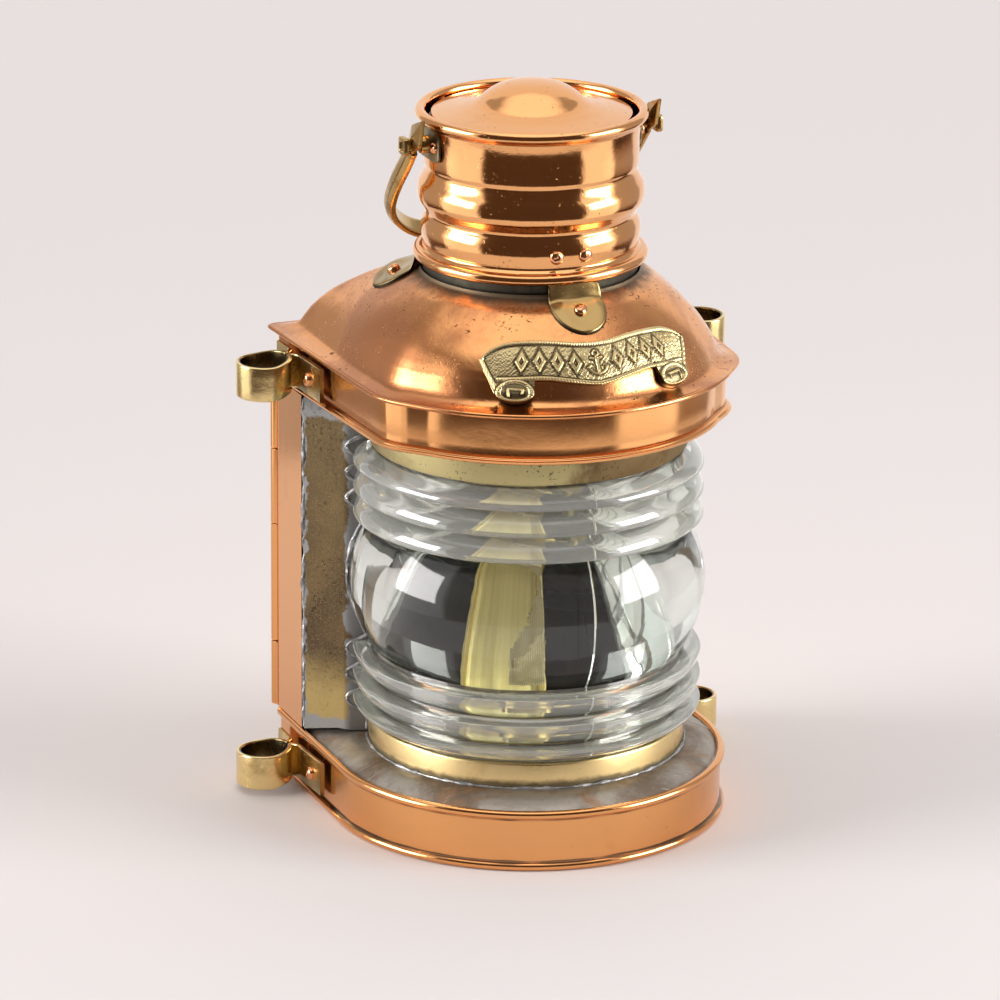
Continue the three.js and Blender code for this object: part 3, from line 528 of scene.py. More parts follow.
def make_screen_brass():
    """Brass blackened and freckled by heat, cleaner near its foot, with grey solder wiped along its edges."""
    material, tree, shader, vector = start_material("freckled_brass")
    worn = worn_metal(
        tree,
        vector,
        bright=(0.11, 0.072, 0.034), dull=(0.062, 0.04, 0.022), dark=(0.05, 0.03, 0.018),
        size=24.0, dullness=0.9, specks=0.9, hollows=0.2, gloss=0.42, spread=0.12,
    )
    grain = cloud(tree, vector, 2300.0, 2.0, 0.7)
    freckle = between(tree, grain, 0.52, 0.68)
    freckle = maths(tree, "MULTIPLY", freckle, 0.55)
    colour = blend_of(tree, freckle, worn.outputs["Color"], (0.27, 0.185, 0.08, 1))
    parts = place(tree, "ShaderNodeSeparateXYZ", {}, {0: vector})
    height = parts.outputs[2]
    pale = between(tree, height, 0.04, 0.14, 0.0, 0.35)
    colour = blend_of(tree, pale, colour, (0.19, 0.14, 0.06, 1))
    ragged = maths(tree, "SUBTRACT", cloud(tree, vector, 130.0, 4.0, 0.6), 0.5)
    ragged = maths(tree, "MULTIPLY", ragged, 0.008)
    above = maths(tree, "ADD", height, maths(tree, "MULTIPLY", ragged, 1.5))
    clean = maths(tree, "MULTIPLY", between(tree, above, 0.056, 0.034), 0.7)
    colour = blend_of(tree, clean, colour, (0.42, 0.31, 0.12, 1))
    out = maths(tree, "ADD", parts.outputs[1], ragged)
    near_panel = between(tree, out, 0.0378, 0.0386)
    near_lens = between(tree, out, 0.0249, 0.0240)
    level = maths(tree, "ADD", height, ragged)
    foot = between(tree, level, 0.0295, 0.0275)
    top = between(tree, level, 0.1375, 0.1395)
    wiped = maths(tree, "MAXIMUM", near_panel, near_lens)
    wiped = maths(tree, "MAXIMUM", wiped, maths(tree, "MAXIMUM", foot, top))
    colour = blend_of(tree, wiped, colour, (0.22, 0.22, 0.215, 1))
    bumps = maths(tree, "ADD", worn.outputs["Height"], maths(tree, "MULTIPLY", grain, 0.5))
    tree.links.new(colour, shader.inputs["Base Color"])
    tree.links.new(worn.outputs["Roughness"], shader.inputs["Roughness"])
    shader.inputs["Metallic"].default_value = 0.85
    bumped(tree, shader, bumps, 0.35, 0.0005)
    return material


def make_glass():
    """Pressed glass with a faint green cast and the soft ripples of its mould."""
    material, tree, shader, vector = start_material("pressed_glass")
    ripple = cloud(tree, vector, 55.0, 2.0, 0.4)
    fine = cloud(tree, vector, 420.0, 2.0, 0.5)
    height = maths(tree, "ADD", ripple, maths(tree, "MULTIPLY", fine, 0.04))
    shader.inputs["Base Color"].default_value = (0.90, 0.95, 0.90, 1)
    shader.inputs["Roughness"].default_value = 0.02
    shader.inputs["IOR"].default_value = 1.5
    shader.inputs["Metallic"].default_value = 0.0
    shader.inputs["Transmission Weight"].default_value = 1.0
    bumped(tree, shader, height, 0.25, 0.0006)
    return material


def make_ridge_glass():
    """Ridge glass under a clear skin, pale as painted light for what the prisms bend, with painted shade in
    valleys.
    """
    material, tree, shader, vector = start_material("ridge_glass")
    ripple = cloud(tree, vector, 70.0, 3.0, 0.5)
    painted_light_cloud = cloud(tree, stretched(tree, vector, (18.0, 18.0, 60.0)), 1.0, 3.0, 0.5)
    # Painted light: this pale colour, let through by a transmission under one, stands in for the light the
    # prisms bend.
    colour = blend_of(tree, between(tree, painted_light_cloud, 0.35, 0.7), (0.90, 0.94, 0.84, 1), (0.96, 0.98, 0.93, 1))
    in_plan = {0: vector, 1: (1.0, 1.0, 0.0)}
    flat = place(tree, "ShaderNodeVectorMath", {"operation": "MULTIPLY"}, in_plan).outputs[0]
    away = place(tree, "ShaderNodeVectorMath", {"operation": "LENGTH"}, {0: flat}).outputs["Value"]
    # Painted shade: darker near the shank, in the valleys between the ridges.
    colour = blend_of(tree, between(tree, away, 0.0556, 0.0543, 0.0, 0.85), colour, (0.16, 0.14, 0.10, 1))
    rough = between(tree, painted_light_cloud, 0.3, 0.7, 0.03, 0.09)
    tree.links.new(colour, shader.inputs["Base Color"])
    tree.links.new(rough, shader.inputs["Roughness"])
    shader.inputs["IOR"].default_value = 1.5
    shader.inputs["Metallic"].default_value = 0.0
    shader.inputs["Transmission Weight"].default_value = 0.78
    shader.inputs["Coat Weight"].default_value = 1.0
    shader.inputs["Coat Roughness"].default_value = 0.03
    bumped(tree, shader, ripple, 0.25, 0.0005)
    return material


def make_solder():
    """Bright grey solder, frosted in patches and pitted."""
    return metal(
        "solder",
        bright=(0.50, 0.50, 0.50), dull=(0.22, 0.22, 0.22), dark=(0.04, 0.04, 0.04),
        size=120, dullness=0.8, specks=0.7, hollows=0.9,
        gloss=0.34, spread=0.25, dents=0.0009,
    )


def make_tinned():
    """Tinned deck sheet: grey metal with brown copper showing through where it has been rubbed."""
    material, tree, shader, vector = start_material("tinned_sheet")
    worn = worn_metal(
        tree,
        vector,
        bright=(0.43, 0.395, 0.345), dull=(0.21, 0.165, 0.125), dark=(0.045, 0.04, 0.035),
        size=34.0, dullness=0.75, specks=0.45, hollows=0.5, gloss=0.36, spread=0.22,
    )
    rubbed = between(tree, cloud(tree, vector, 46.0, 8.0, 0.75, 0.8), 0.50, 0.64, 0.0, 0.85)
    colour = blend_of(tree, rubbed, worn.outputs["Color"], (0.33, 0.20, 0.12, 1))
    lines = cloud(tree, stretched(tree, vector, (30.0, 400.0, 30.0)), 3.0, 2.0, 0.5, 1.5)
    scratch = between(tree, lines, 0.64, 0.68, 0.0, 0.35)
    colour = blend_of(tree, scratch, colour, (0.62, 0.60, 0.56, 1))
    tree.links.new(colour, shader.inputs["Base Color"])
    tree.links.new(worn.outputs["Roughness"], shader.inputs["Roughness"])
    shader.inputs["Metallic"].default_value = 0.9
    bumped(tree, shader, worn.outputs["Height"], 0.5, 0.0008)
    return material


def make_reflector_brass():
    """Polished brass drawn upright, with fine vertical lines."""
    material, tree, shader, vector = start_material("drawn_brass")
    lines = cloud(tree, stretched(tree, vector, (900.0, 900.0, 8.0)), 1.0, 4.0, 0.7)
    stain = cloud(tree, vector, 30.0, 5.0, 0.6)
    colour = blend_of(tree, between(tree, lines, 0.3, 0.75), (1.0, 0.86, 0.42, 1), (0.86, 0.70, 0.30, 1))
    colour = blend_of(tree, between(tree, stain, 0.55, 0.75, 0.0, 0.6), colour, (0.36, 0.26, 0.10, 1))
    rough = between(tree, lines, 0.2, 0.8, 0.5, 0.62)
    tree.links.new(colour, shader.inputs["Base Color"])
    tree.links.new(rough, shader.inputs["Roughness"])
    shader.inputs["Metallic"].default_value = 0.6
    bumped(tree, shader, lines, 0.3, 0.0002)
    return material


def make_cotton():
    """Woven wick: crossed waves for the threads, a little scorched at the very top."""
    material, tree, shader, vector = start_material("wick_cotton")
    weave = {"wave_type": "BANDS", "bands_direction": "X"}
    threads = place(tree, "ShaderNodeTexWave", weave, {"Vector": vector, "Scale": 450.0, "Distortion": 1.0})
    cross = {"wave_type": "BANDS", "bands_direction": "Z"}
    rows = place(tree, "ShaderNodeTexWave", cross, {"Vector": vector, "Scale": 380.0, "Distortion": 1.0})
    cloth = maths(tree, "MULTIPLY", threads.outputs[1], rows.outputs[1])
    colour = blend_of(tree, cloth, (0.50, 0.40, 0.22, 1), (0.72, 0.61, 0.36, 1))
    burnt = stained(tree, vector, 0.0633, 0.0637, 0.0004)
    colour = blend_of(tree, burnt, colour, (0.30, 0.22, 0.11, 1))
    tree.links.new(colour, shader.inputs["Base Color"])
    shader.inputs["Roughness"].default_value = 0.95
    bumped(tree, shader, cloth, 0.6, 0.0003)
    return material


GREEN = (0.075, 0.085, 0.065)
COPPER = metal(
    "polished_copper",
    bright=(0.86, 0.415, 0.16), dull=(0.68, 0.30, 0.115), dark=(0.13, 0.055, 0.03),
    size=26, dullness=0.4, specks=0.4, hollows=0.6,
    gloss=0.10, spread=0.13, dents=0.0002,
)
BASE_COPPER = metal(
    "base_copper",
    bright=(0.86, 0.415, 0.16), dull=(0.68, 0.30, 0.115), dark=(0.075, 0.05, 0.035),
    size=26, dullness=0.4, specks=0.4, hollows=0.6,
    gloss=0.10, spread=0.13, dents=0.0002, depth="relief",
)
DOME_COPPER = metal(
    "dome_copper",
    bright=(0.88, 0.405, 0.155), dull=(0.52, 0.215, 0.088), dark=(0.15, 0.06, 0.026),
    size=24, dullness=0.78, specks=0.7, hollows=0.5,
    gloss=0.10, spread=0.22, dents=0.0009,
    stain=(GREEN, 0.1925, 0.1958, 0.005),
)
CHIMNEY_COPPER = metal(
    "chimney_copper",
    bright=(0.88, 0.44, 0.18), dull=(0.70, 0.32, 0.13), dark=(0.12, 0.05, 0.025),
    size=30, dullness=0.35, specks=0.55, hollows=0.6,
    gloss=0.07, spread=0.10,
)
RIVET_COPPER = metal(
    "rivet_copper",
    bright=(0.86, 0.42, 0.21), dull=(0.62, 0.28, 0.14), dark=(0.06, 0.035, 0.025),
    size=80, dullness=0.5, specks=0.3, hollows=0.9,
    gloss=0.14, spread=0.14,
)
COLLAR_BRASS = metal(
    "collar_brass",
    bright=(0.80, 0.62, 0.30), dull=(0.56, 0.40, 0.17), dark=(0.10, 0.07, 0.03),
    size=34, dullness=0.5, specks=0.4, hollows=0.4,
    gloss=0.22, spread=0.2, dents=0.0005,
    stain=((0.06, 0.05, 0.035), 0.0285, 0.0262, 0.003),
)
UPPER_COLLAR = metal(
    "speckled_collar_brass",
    bright=(0.62, 0.54, 0.26), dull=(0.24, 0.16, 0.08), dark=(0.07, 0.045, 0.025),
    size=34, dullness=0.6, specks=0.7, hollows=0.4,
    gloss=0.30, spread=0.2, dents=0.0005, axis="X",
    stain=((0.13, 0.075, 0.035), -0.012, 0.004, 0.02),
)
OLD_BRASS = metal(
    "old_brass",
    bright=(0.58, 0.375, 0.135), dull=(0.28, 0.17, 0.06), dark=(0.04, 0.028, 0.018),
    size=60, dullness=0.7, specks=0.5, hollows=0.8,
    gloss=0.16, spread=0.24, dents=0.0006,
)
STRAP_BRASS = metal(
    "strap_brass",
    bright=(0.42, 0.285, 0.112), dull=(0.25, 0.165, 0.07), dark=(0.035, 0.03, 0.02),
    size=60, dullness=0.5, specks=0.4, hollows=1.0,
    gloss=0.16, spread=0.2, dents=0.0004,
)
PLATE_BRASS = metal(
    "name_plate_brass",
    bright=(0.70, 0.565, 0.295), dull=(0.43, 0.325, 0.15), dark=(0.03, 0.022, 0.015),
    size=50, dullness=0.5, specks=0.45, hollows=1.0,
    gloss=0.24, spread=0.2, dents=0.0004, depth="relief",
)
LAMP_BRASS = metal(
    "lamp_brass",
    bright=(0.62, 0.47, 0.19), dull=(0.36, 0.26, 0.11), dark=(0.05, 0.04, 0.025),
    size=45, dullness=0.6, specks=0.4, hollows=0.6,
    gloss=0.25, spread=0.2, dents=0.0004,
)
# Painted shade: the neck ring is coloured near black for the shade in the gap under the chimney's foot.
NECK_METAL = metal(
    "neck_metal",
    bright=(0.12, 0.105, 0.08), dull=(0.07, 0.07, 0.055), dark=(0.02, 0.018, 0.014),
    size=90, dullness=0.8, specks=0.6, hollows=0.5,
    gloss=0.35, spread=0.2, dents=0.0006,
)
SOOT = metal(
    "sooted_sheet",
    bright=(0.05, 0.04, 0.032), dull=(0.028, 0.024, 0.021), dark=(0.012, 0.01, 0.009),
    size=30, dullness=0.7, specks=0.4, hollows=0.3,
    gloss=0.5, spread=0.15,
)
SOLDER = make_solder()
TINNED = make_tinned()
SCREEN_BRASS = make_screen_brass()
GLASS = make_glass()
RIDGE_GLASS = make_ridge_glass()
DRAWN_BRASS = make_reflector_brass()
COTTON = make_cotton()
LUG_BRASS = metal(
    "lug_brass",
    bright=(0.86, 0.66, 0.31), dull=(0.46, 0.32, 0.13), dark=(0.085, 0.06, 0.03),
    size=70, dullness=0.5, specks=0.6, hollows=0.9,
    gloss=0.15, spread=0.2, dents=0.0006, depth="relief",
)
EAR_BRASS = metal(
    "ear_brass",
    bright=(0.36, 0.30, 0.17), dull=(0.16, 0.145, 0.095), dark=(0.035, 0.032, 0.024),
    size=80, dullness=0.7, specks=0.5, hollows=0.9,
    gloss=0.28, spread=0.2, dents=0.0005,
)

COPPER_SHEET = (COPPER, "copper")
BRASS_SHEET = (COLLAR_BRASS, "brass")
OLD = (OLD_BRASS, "brass")
LAMP = (LAMP_BRASS, "brass")
RIVET = (RIVET_COPPER, "rivet_copper")
SOLDERED = (SOLDER, "tinned_sheet")


# ---- Plan outlines, counter-clockwise seen from above ----
def base_plan():
    """Half a circle in front, straight sides, rounded corners and a straight rear."""
    a = np.radians(np.linspace(-90, 90, 61))
    front_arc = np.stack([BASE_RADIUS * np.sin(a), -BASE_RADIUS * np.cos(a)], axis=1)
    corners = np.array([[BASE_RADIUS, REAR_Y], [-BASE_RADIUS, REAR_Y]])
    points = np.vstack([front_arc, corners])
    radii = [0] * 61 + [3, 3]
    return respaced(filleted(points, radii), PLAN_STEP)


def roof_plan(radius, kink, corner, step):
    """A front arc, a flat either side, tapering sides and a straight rear, with its corners eased."""
    a = np.radians(np.linspace(-53, 53, 61))
    front_arc = np.stack([radius * np.sin(a), -radius * np.cos(a)], axis=1)
    rest = np.array([kink, corner, [-corner[0], corner[1]], [-kink[0], kink[1]]])
    points = np.vstack([front_arc, rest])
    radii = [0] * 61 + [8, 3, 3, 8]
    return respaced(filleted(points, radii), step)


BASE_PLAN = base_plan()
ROOF_PLAN = roof_plan(ROOF_RADIUS, ROOF_KINK, (PANEL_X, REAR_Y), PLAN_STEP)
FLANGE_PLAN = roof_plan(FLANGE_RADIUS, (67.4, -29.8), (72.9, REAR_Y + 1), 1.0)


def reach(plan, azimuth):
    """Distance from the axis to a plan outline in each direction, by interpolation over its own azimuths."""
    own = np.arctan2(plan[:, 0], -plan[:, 1])
    order = np.argsort(own)
    return np.interp(azimuth, own[order], np.linalg.norm(plan, axis=1)[order], period=2 * np.pi)


# ---- Base ----
def make_base():
    """The wall is a sheet section with a half-round bead at its foot and another rolled over its top edge.

    Its relief number falls to nothing in the crease beside each bead, where it paints shade into the colour.
    """
    low = arc((0, BEAD), BEAD, -90, 78, 10)
    high = arc((0, BASE_BEAD_Z), BEAD, -78, 150, 14)
    inner = np.array([[-SHEET, BASE_BEAD_Z + 0.2], [-SHEET, 2.0], [-SHEET, 0.3], [-0.7, 0.0]])
    levels = np.array([3.3, 3.8, 4.8, 7.6, 10.7, 14.0, 16.8, 17.8, 18.3])
    wall = np.stack([np.zeros_like(levels), levels], axis=1)
    section = np.vstack([low, wall, high, inner])
    run = np.arange(len(BASE_PLAN)) * PLAN_STEP
    grid = carried(BASE_PLAN, section)
    dents = 0.16 * wander(run, 4, 55.0)[:, None] * np.exp(-(((section[:, 1] - 11) / 6) ** 2))[None]
    grid[..., :2] += outward(BASE_PLAN)[:, None] * dents[..., None]
    low_crease, high_crease = BASE_CREASES
    from_crease = np.minimum(np.abs(section[:, 1] - low_crease), np.abs(section[:, 1] - high_crease) + 0.25)
    # Painted shade: the relief number is low near the creases beside the beads, and darkens them.
    relief = 0.6 * from_crease[None] + 0.14 * wander(run, 9, 11.0)[:, None]
    relief = np.where(section[None, :, 0] < -0.5, 1.0, relief)
    skin("base_wall", grid, (BASE_COPPER, "copper"), along=True, stands_for=["base_band"], relief=relief)


def make_deck():
    """A sheet that rises from the wall to the collar: rings that shrink from the outline to a round hole."""
    azimuth = np.radians(np.linspace(-180, 180, 360, endpoint=False))
    edge = reach(BASE_PLAN, azimuth) - 1.15
    share = np.linspace(0, 1, 30)
    r = edge[:, None] + (DECK_HOLE - edge[:, None]) * share[None]
    rise = np.clip((edge[:, None] - r) / (edge[:, None] - 56.5), 0, 1)
    top = 20.2 + (DECK_Z - 20.2) * (rise * (2 - rise)) ** 0.9
    ripple = 0.16 * np.sin(5 * azimuth + 1)[:, None] * np.sin(np.pi * rise)
    ripple = ripple + 0.1 * np.sin(11 * azimuth)[:, None] * rise
    top = top + ripple * (r > LENS_SHANK)
    groove = np.exp(-(((edge[:, None] - r - 3.2) / 0.35) ** 2))
    top = top - 0.22 * groove
    radii = np.concatenate([r, r[:, ::-1]], axis=1)
    heights = np.concatenate([top, top[:, ::-1] - SHEET], axis=1)
    grid = front(np.degrees(azimuth)[:, None], radii, heights)
    skin("deck_sheet", grid, (TINNED, "tinned_sheet"), along=True, stands_for=["base_deck"])


# ---- Lens and collars ----
def ridge(tip, away):
    """One prism ridge: a flat shelf out to a rounded tip, then a convex face that falls away as a power."""
    full = tip + away * (RIDGE_PITCH - 0.55)
    foot = float(np.clip(full, 34.7, 133.7))
    share = np.linspace(0, 1, 22)
    brow = LENS_RADIUS - 0.35
    bulge = brow - (brow - LENS_SHANK) * share**2.1
    face = np.stack([bulge, tip + away * 0.55 + (foot - tip - away * 0.55) * share], axis=1)
    shelf = np.array([[LENS_SHANK, tip - away * 0.15], [56.5, tip], [59.0, tip], [60.2, tip + away * 0.03]])
    nose = np.array([[60.75, tip + away * 0.12], [60.95, tip + away * 0.32]])
    rows = np.vstack([shelf, nose, face])
    return rows[::-1] if away < 0 else rows


def make_lens():
    """A sector of pressed glass: the ridged profile turned about the axis, with the mould's raised line."""
    t = np.linspace(-1, 1, 48)
    swell = (LENS_BELT_RADIUS - LENS_SHANK) * (1 - t**2) ** 0.92
    belt = np.stack([LENS_SHANK + swell, LENS_BELT_Z + t * LENS_BELT_HALF], axis=1)
    lower = np.vstack([ridge(LOWER_RIDGE_Z - k * RIDGE_PITCH, -1) for k in (2, 1, 0)])
    upper = np.vstack([ridge(UPPER_RIDGE_Z + k * RIDGE_PITCH, 1) for k in (0, 1, 2)])
    low, high = LENS_ENDS
    bore = np.stack([np.full(24, LENS_BORE), np.linspace(high - 0.2, low + 0.2, 24)], axis=1)
    foot = np.array([[LENS_BORE + 0.2, low], [LENS_SHANK - 0.2, low], [LENS_SHANK, low + 0.2]])
    head = np.array([[LENS_SHANK, high - 0.2], [LENS_SHANK - 0.2, high], [LENS_BORE + 0.2, high]])
    profile = np.vstack([foot, lower, belt, upper, head, bore])
    coarse = np.linspace(-LENS_HALF_ANGLE, LENS_HALF_ANGLE, 181)
    fine = np.array([-0.5, -0.4, -0.3, -0.2, -0.1, 0.1, 0.2, 0.3, 0.4, 0.5])
    azimuth = np.sort(np.concatenate([coarse, fine]))
    raised = 0.4 * np.clip(1 - np.abs(azimuth) / 0.4, 0, 1)[:, None]
    outside = (profile[:, 0] > LENS_SHANK - 0.3)[None] * 1.0
    sway = 0.06 * np.sin(np.radians(azimuth) * 7)[:, None] * outside
    grid = front(azimuth[:, None], profile[None, :, 0] + raised * outside + sway, profile[None, :, 1])
    piece = skin("lens_glass", grid, (GLASS, "lens_glass"), caps=True, stands_for=["lens"], crease=32)
    piece.data.materials.append(RIDGE_GLASS)
    centre = np.zeros(len(piece.data.polygons) * 3, np.float32)
    piece.data.polygons.foreach_get("center", centre)
    centre = centre.reshape(-1, 3) * 1000
    outer = np.hypot(centre[:, 0], centre[:, 1]) > LENS_BORE + 0.6
    ridged = (np.abs(centre[:, 2] - LENS_BELT_Z) > LENS_BELT_HALF + 0.1) & outer
    piece.data.polygons.foreach_set("material_index", ridged.astype(np.int32))


def make_collars():
    """Bent brass strips in front of the lens ends, with a rolled rim and an inner ledge under the glass."""
    azimuth = np.linspace(-LENS_HALF_ANGLE, LENS_HALF_ANGLE, 181)[:, None]
    low = [[49.6, 25.2], [55.5, 25.2], [55.35, 26.5], [55.3, 33.3], [55.15, 33.8], [54.9, 34.0], [54.5, 34.0]]
    low = np.array(low + [[54.3, 33.8], [54.25, 31.2], [49.6, 31.2]])
    wave = 0.12 * np.sin(np.radians(azimuth) * 9)
    grid = front(azimuth, low[None, :, 0], low[None, :, 1] + wave * (low[None, :, 1] > 32))
    skin("collar_under_lens", grid, BRASS_SHEET, caps=True, stands_for=["lens_lower_collar"])
    high = [[49.6, 144.9], [54.25, 144.9], [54.25, 134.7], [54.5, 134.4], [54.9, 134.35], [55.2, 134.6]]
    high = np.array(high + [[55.3, 135.2], [55.35, 145.9], [49.6, 145.9]])
    grid = front(azimuth, high[None, :, 0], high[None, :, 1] + np.zeros_like(azimuth))
    skin("collar_over_lens", grid, (UPPER_COLLAR, "brass"), caps=True, stands_for=["lens_upper_collar"])


def make_solder_seams():
    """Runs of solder: round the collar's foot and the deck's edge, and along the panels and the glass."""
    azimuth = np.linspace(-110, 110, 240)
    tube(front(azimuth, 55.75, 25.2), 0.6, 21, SOLDERED, "solder_collar", 0.5, pitch=13.0)
    edge = BASE_PLAN * (1 - 1.6 / np.linalg.norm(BASE_PLAN, axis=1))[:, None]
    start = int(np.argmin(np.linalg.norm(BASE_PLAN - [0, REAR_Y], axis=1)))
    edge = np.roll(edge, -start - 2, axis=0)[:-4]
    rim = np.column_stack([edge, np.full(len(edge), 20.4)])
    tube(rim, 0.45, 33, SOLDERED, "solder_deck_edge", 0.5, pitch=16.0)
    for side, name in ((-1, "left"), (1, "right")):
        rise = np.linspace(23, 144.2, 160)
        lean = 0.18 * wander(rise, 50 + side, 17.0)
        line = np.stack([side * (68.5 + lean * 0.4), 39.45 + lean, rise], axis=1)
        tube(line, 0.8, 41 + side, SOLDERED, "solder_panel_" + name, 0.4, pitch=11.0)
        inner = np.stack([side * (66.6 + lean * 0.3), 37.9 + lean, rise], axis=1)
        tube(inner, 0.55, 61 + side, SOLDERED, "solder_panel_inner_" + name, 0.6, pitch=9.0)
        lens_line = lens_edge_line(side)
        tube(lens_line, 0.6, 71 + side, SOLDERED, "solder_lens_" + name, 0.5, pitch=15.0)


def lens_edge_line(side):
    """The line in front of the screen that follows the ridged end of the glass."""
    z = np.linspace(26.5, 144.0, 220)
    belt = LENS_SHANK + 8.4 * np.clip(1 - ((z - LENS_BELT_Z) / LENS_BELT_HALF) ** 2, 0, 1)
    pulse = np.zeros_like(z)
    for k in range(3):
        low = LOWER_RIDGE_Z - k * RIDGE_PITCH
        high = UPPER_RIDGE_Z + k * RIDGE_PITCH
        for offset in (z - low + 3.2, z - high - 3.2):
            pulse = np.maximum(pulse, 7.4 * np.clip(1 - (offset / 4.6) ** 2, 0, 1))
    r = np.maximum(belt, LENS_SHANK + 1.2 + pulse) + 0.7
    return front(np.full_like(z, side * (LENS_HALF_ANGLE + 0.1)), r, z)


# ---- Screens, panels and rear door ----
def lens_end(side, r, behind=0.8):
    """A plan point on the plane just behind the end of the lens."""
    a = np.radians(LENS_HALF_ANGLE)
    x = r * np.sin(a) - behind * np.cos(a)
    y = -r * np.cos(a) + behind * np.sin(a)
    return [side * x, y]


def make_screens():
    """Sheets on a bent plan line, from behind each end of the lens to the front edge of the side panel."""
    for side, name in ((-1, "left"), (1, "right")):
        corner = [side * (PANEL_X - 0.9), PANEL_FRONT_Y - 0.4]
        path = filleted([lens_end(side, 47), lens_end(side, 62.3), corner], [0, 1.5, 0], closed=False)
        path = respaced(path, 0.7, closed=False)
        path = path if side < 0 else path[::-1]
        run = np.linalg.norm(path, axis=1)
        feet = np.where(run < 66, 25.3, 25.3 - (run - 66) * 0.25)
        grid = standing(path, SHEET, feet, PANEL_TOP_Z)
        skin("screen_sheet_" + name, grid, (SCREEN_BRASS, "brass"), caps=True, stands_for=["screen_" + name])


def soot_inside(sheet, x, y):
    """Faces that look inwards, nearer the middle than the given width and depth, take the sooted finish."""
    sheet.data.materials.append(SOOT)
    count = len(sheet.data.polygons)
    centre = np.zeros(count * 3, np.float32)
    facing = np.zeros(count * 3, np.float32)
    sheet.data.polygons.foreach_get("center", centre)
    sheet.data.polygons.foreach_get("normal", facing)
    centre = centre.reshape(-1, 3) * 1000
    facing = facing.reshape(-1, 3)
    inward = (centre[:, 0] * facing[:, 0] < 0) | (facing[:, 1] < -0.3)
    inside = (np.abs(centre[:, 0]) < x) & (centre[:, 1] < y) & inward
    sheet.data.polygons.foreach_set("material_index", inside.astype(np.int32))


def make_panels():
    """Side sheets whose plan line turns a rounded rear corner into the stile beside the door."""
    x = PANEL_X - SHEET / 2
    y = REAR_Y - SHEET / 2
    left = filleted([[-x, PANEL_FRONT_Y + 0.3], [-x, y], [-60, y]], [0, 1.2, 0], closed=False)
    right = filleted([[x, PANEL_FRONT_Y + 0.3], [x, y], [54, y]], [0, 1.2, 0], closed=False)
    grid = standing(respaced(left, 0.7, closed=False), SHEET, PANEL_FOOT_Z, PANEL_TOP_Z)
    sheet = skin("side_sheet_left", grid, COPPER_SHEET, caps=True, stands_for=["side_panel_left"])
    soot_inside(sheet, PANEL_X - 0.4, REAR_Y - 0.4)
    grid = standing(respaced(right, 0.7, closed=False)[::-1], SHEET, PANEL_FOOT_Z, PANEL_TOP_Z)
    sheet = skin("side_sheet_right", grid, COPPER_SHEET, caps=True, stands_for=["side_panel_right"])
    soot_inside(sheet, PANEL_X - 0.4, REAR_Y - 0.4)


def make_door():
    """The door is a flat sheet whose field is raised by a smooth step of the distance from its border."""
    x = np.concatenate([[-66.1], np.linspace(-65.9, 58.0, 150), [58.2]])
    z = np.concatenate([[22.4], np.linspace(22.6, 144.9, 150), [145.1]])
    inset_x = np.minimum(x + 54, 44 - x)
    inset_z = np.minimum(z - 34, 134 - z)
    t = np.clip(np.minimum(inset_x[:, None], inset_z[None]) / 2.6 + 0.5, 0, 1)
    swell = 0.8 * t * t * (3 - 2 * t)
    bow = 0.12 * np.sin(np.pi * (x[:, None] + 66) / 124) * np.sin(np.pi * (z[None] - 22) / 123)
    edge = np.zeros((len(x), len(z)))
    edge[0] = -0.25
    edge[-1] = -0.25
    edge[:, 0] = -0.25
    edge[:, -1] = -0.25
    face = DOOR_Y + SHEET + swell + bow + edge
    back = DOOR_Y + swell * 0.8 - edge
    zz = np.concatenate([z, z[::-1]])
    depth = np.concatenate([face, back[:, ::-1]], axis=1)
    wide = np.broadcast_to(x[:, None], depth.shape)
    grid = np.stack([wide, depth, np.broadcast_to(zz[None], depth.shape)], axis=2)
    sheet = skin("door_sheet", grid, COPPER_SHEET, body="rear_door", caps=True, stands_for=["rear_door"])
    soot_inside(sheet, 65.9, DOOR_Y + 0.75)


def make_hinge():
    """Four rolled knuckles round one pin, by turns on the side sheet and on the door, each with its leaf."""
    x, y = HINGE
    last = len(KNUCKLE_ENDS) - 2
    for i in range(last + 1):
        low = KNUCKLE_ENDS[i] + (KNUCKLE_GAP if i else 0)
        high = KNUCKLE_ENDS[i + 1] - (KNUCKLE_GAP if i < last else 0)
        a = np.linspace(0, 2 * np.pi, 40, endpoint=False)
        half = [[1.05, low + 0.2], [1.3, low], [1.8, low], [2.0, low + 0.2], [2.0, high - 0.2], [1.8, high]]
        half = np.array(half + [[1.3, high], [1.05, high - 0.2]])
        across = np.cos(a)[:, None] * half[None, :, 0] + x
        depth = np.sin(a)[:, None] * half[None, :, 0] + y
        grid = np.stack([across, depth, np.broadcast_to(half[None, :, 1], across.shape)], axis=2)
        if i % 2:
            body = "rear_door"
            leaf = [[x + 0.8, y - 1.55], [-64.5, DOOR_Y + 0.5]]
        else:
            body = "lantern"
            leaf = [[x - 0.9, y - 0.4], [x - 0.4, REAR_Y - 0.6]]
        skin("hinge_knuckle_%d" % i, grid, COPPER_SHEET, body=body, along=True)
        leaf = standing(respaced(np.array(leaf), 0.5, closed=False), 0.9, low, high)
        skin("hinge_leaf_%d" % i, leaf, COPPER_SHEET, body=body, caps=True)
    pin = [[0, 22.0], [0.6, 22.0], [0.86, 22.3], [0.86, 144.7], [0.6, 145.0], [0, 145.0]]
    skin("hinge_wire", turned(pin, (x, y, 0), segments=24), OLD, along=True, stands_for=["hinge_pin"])


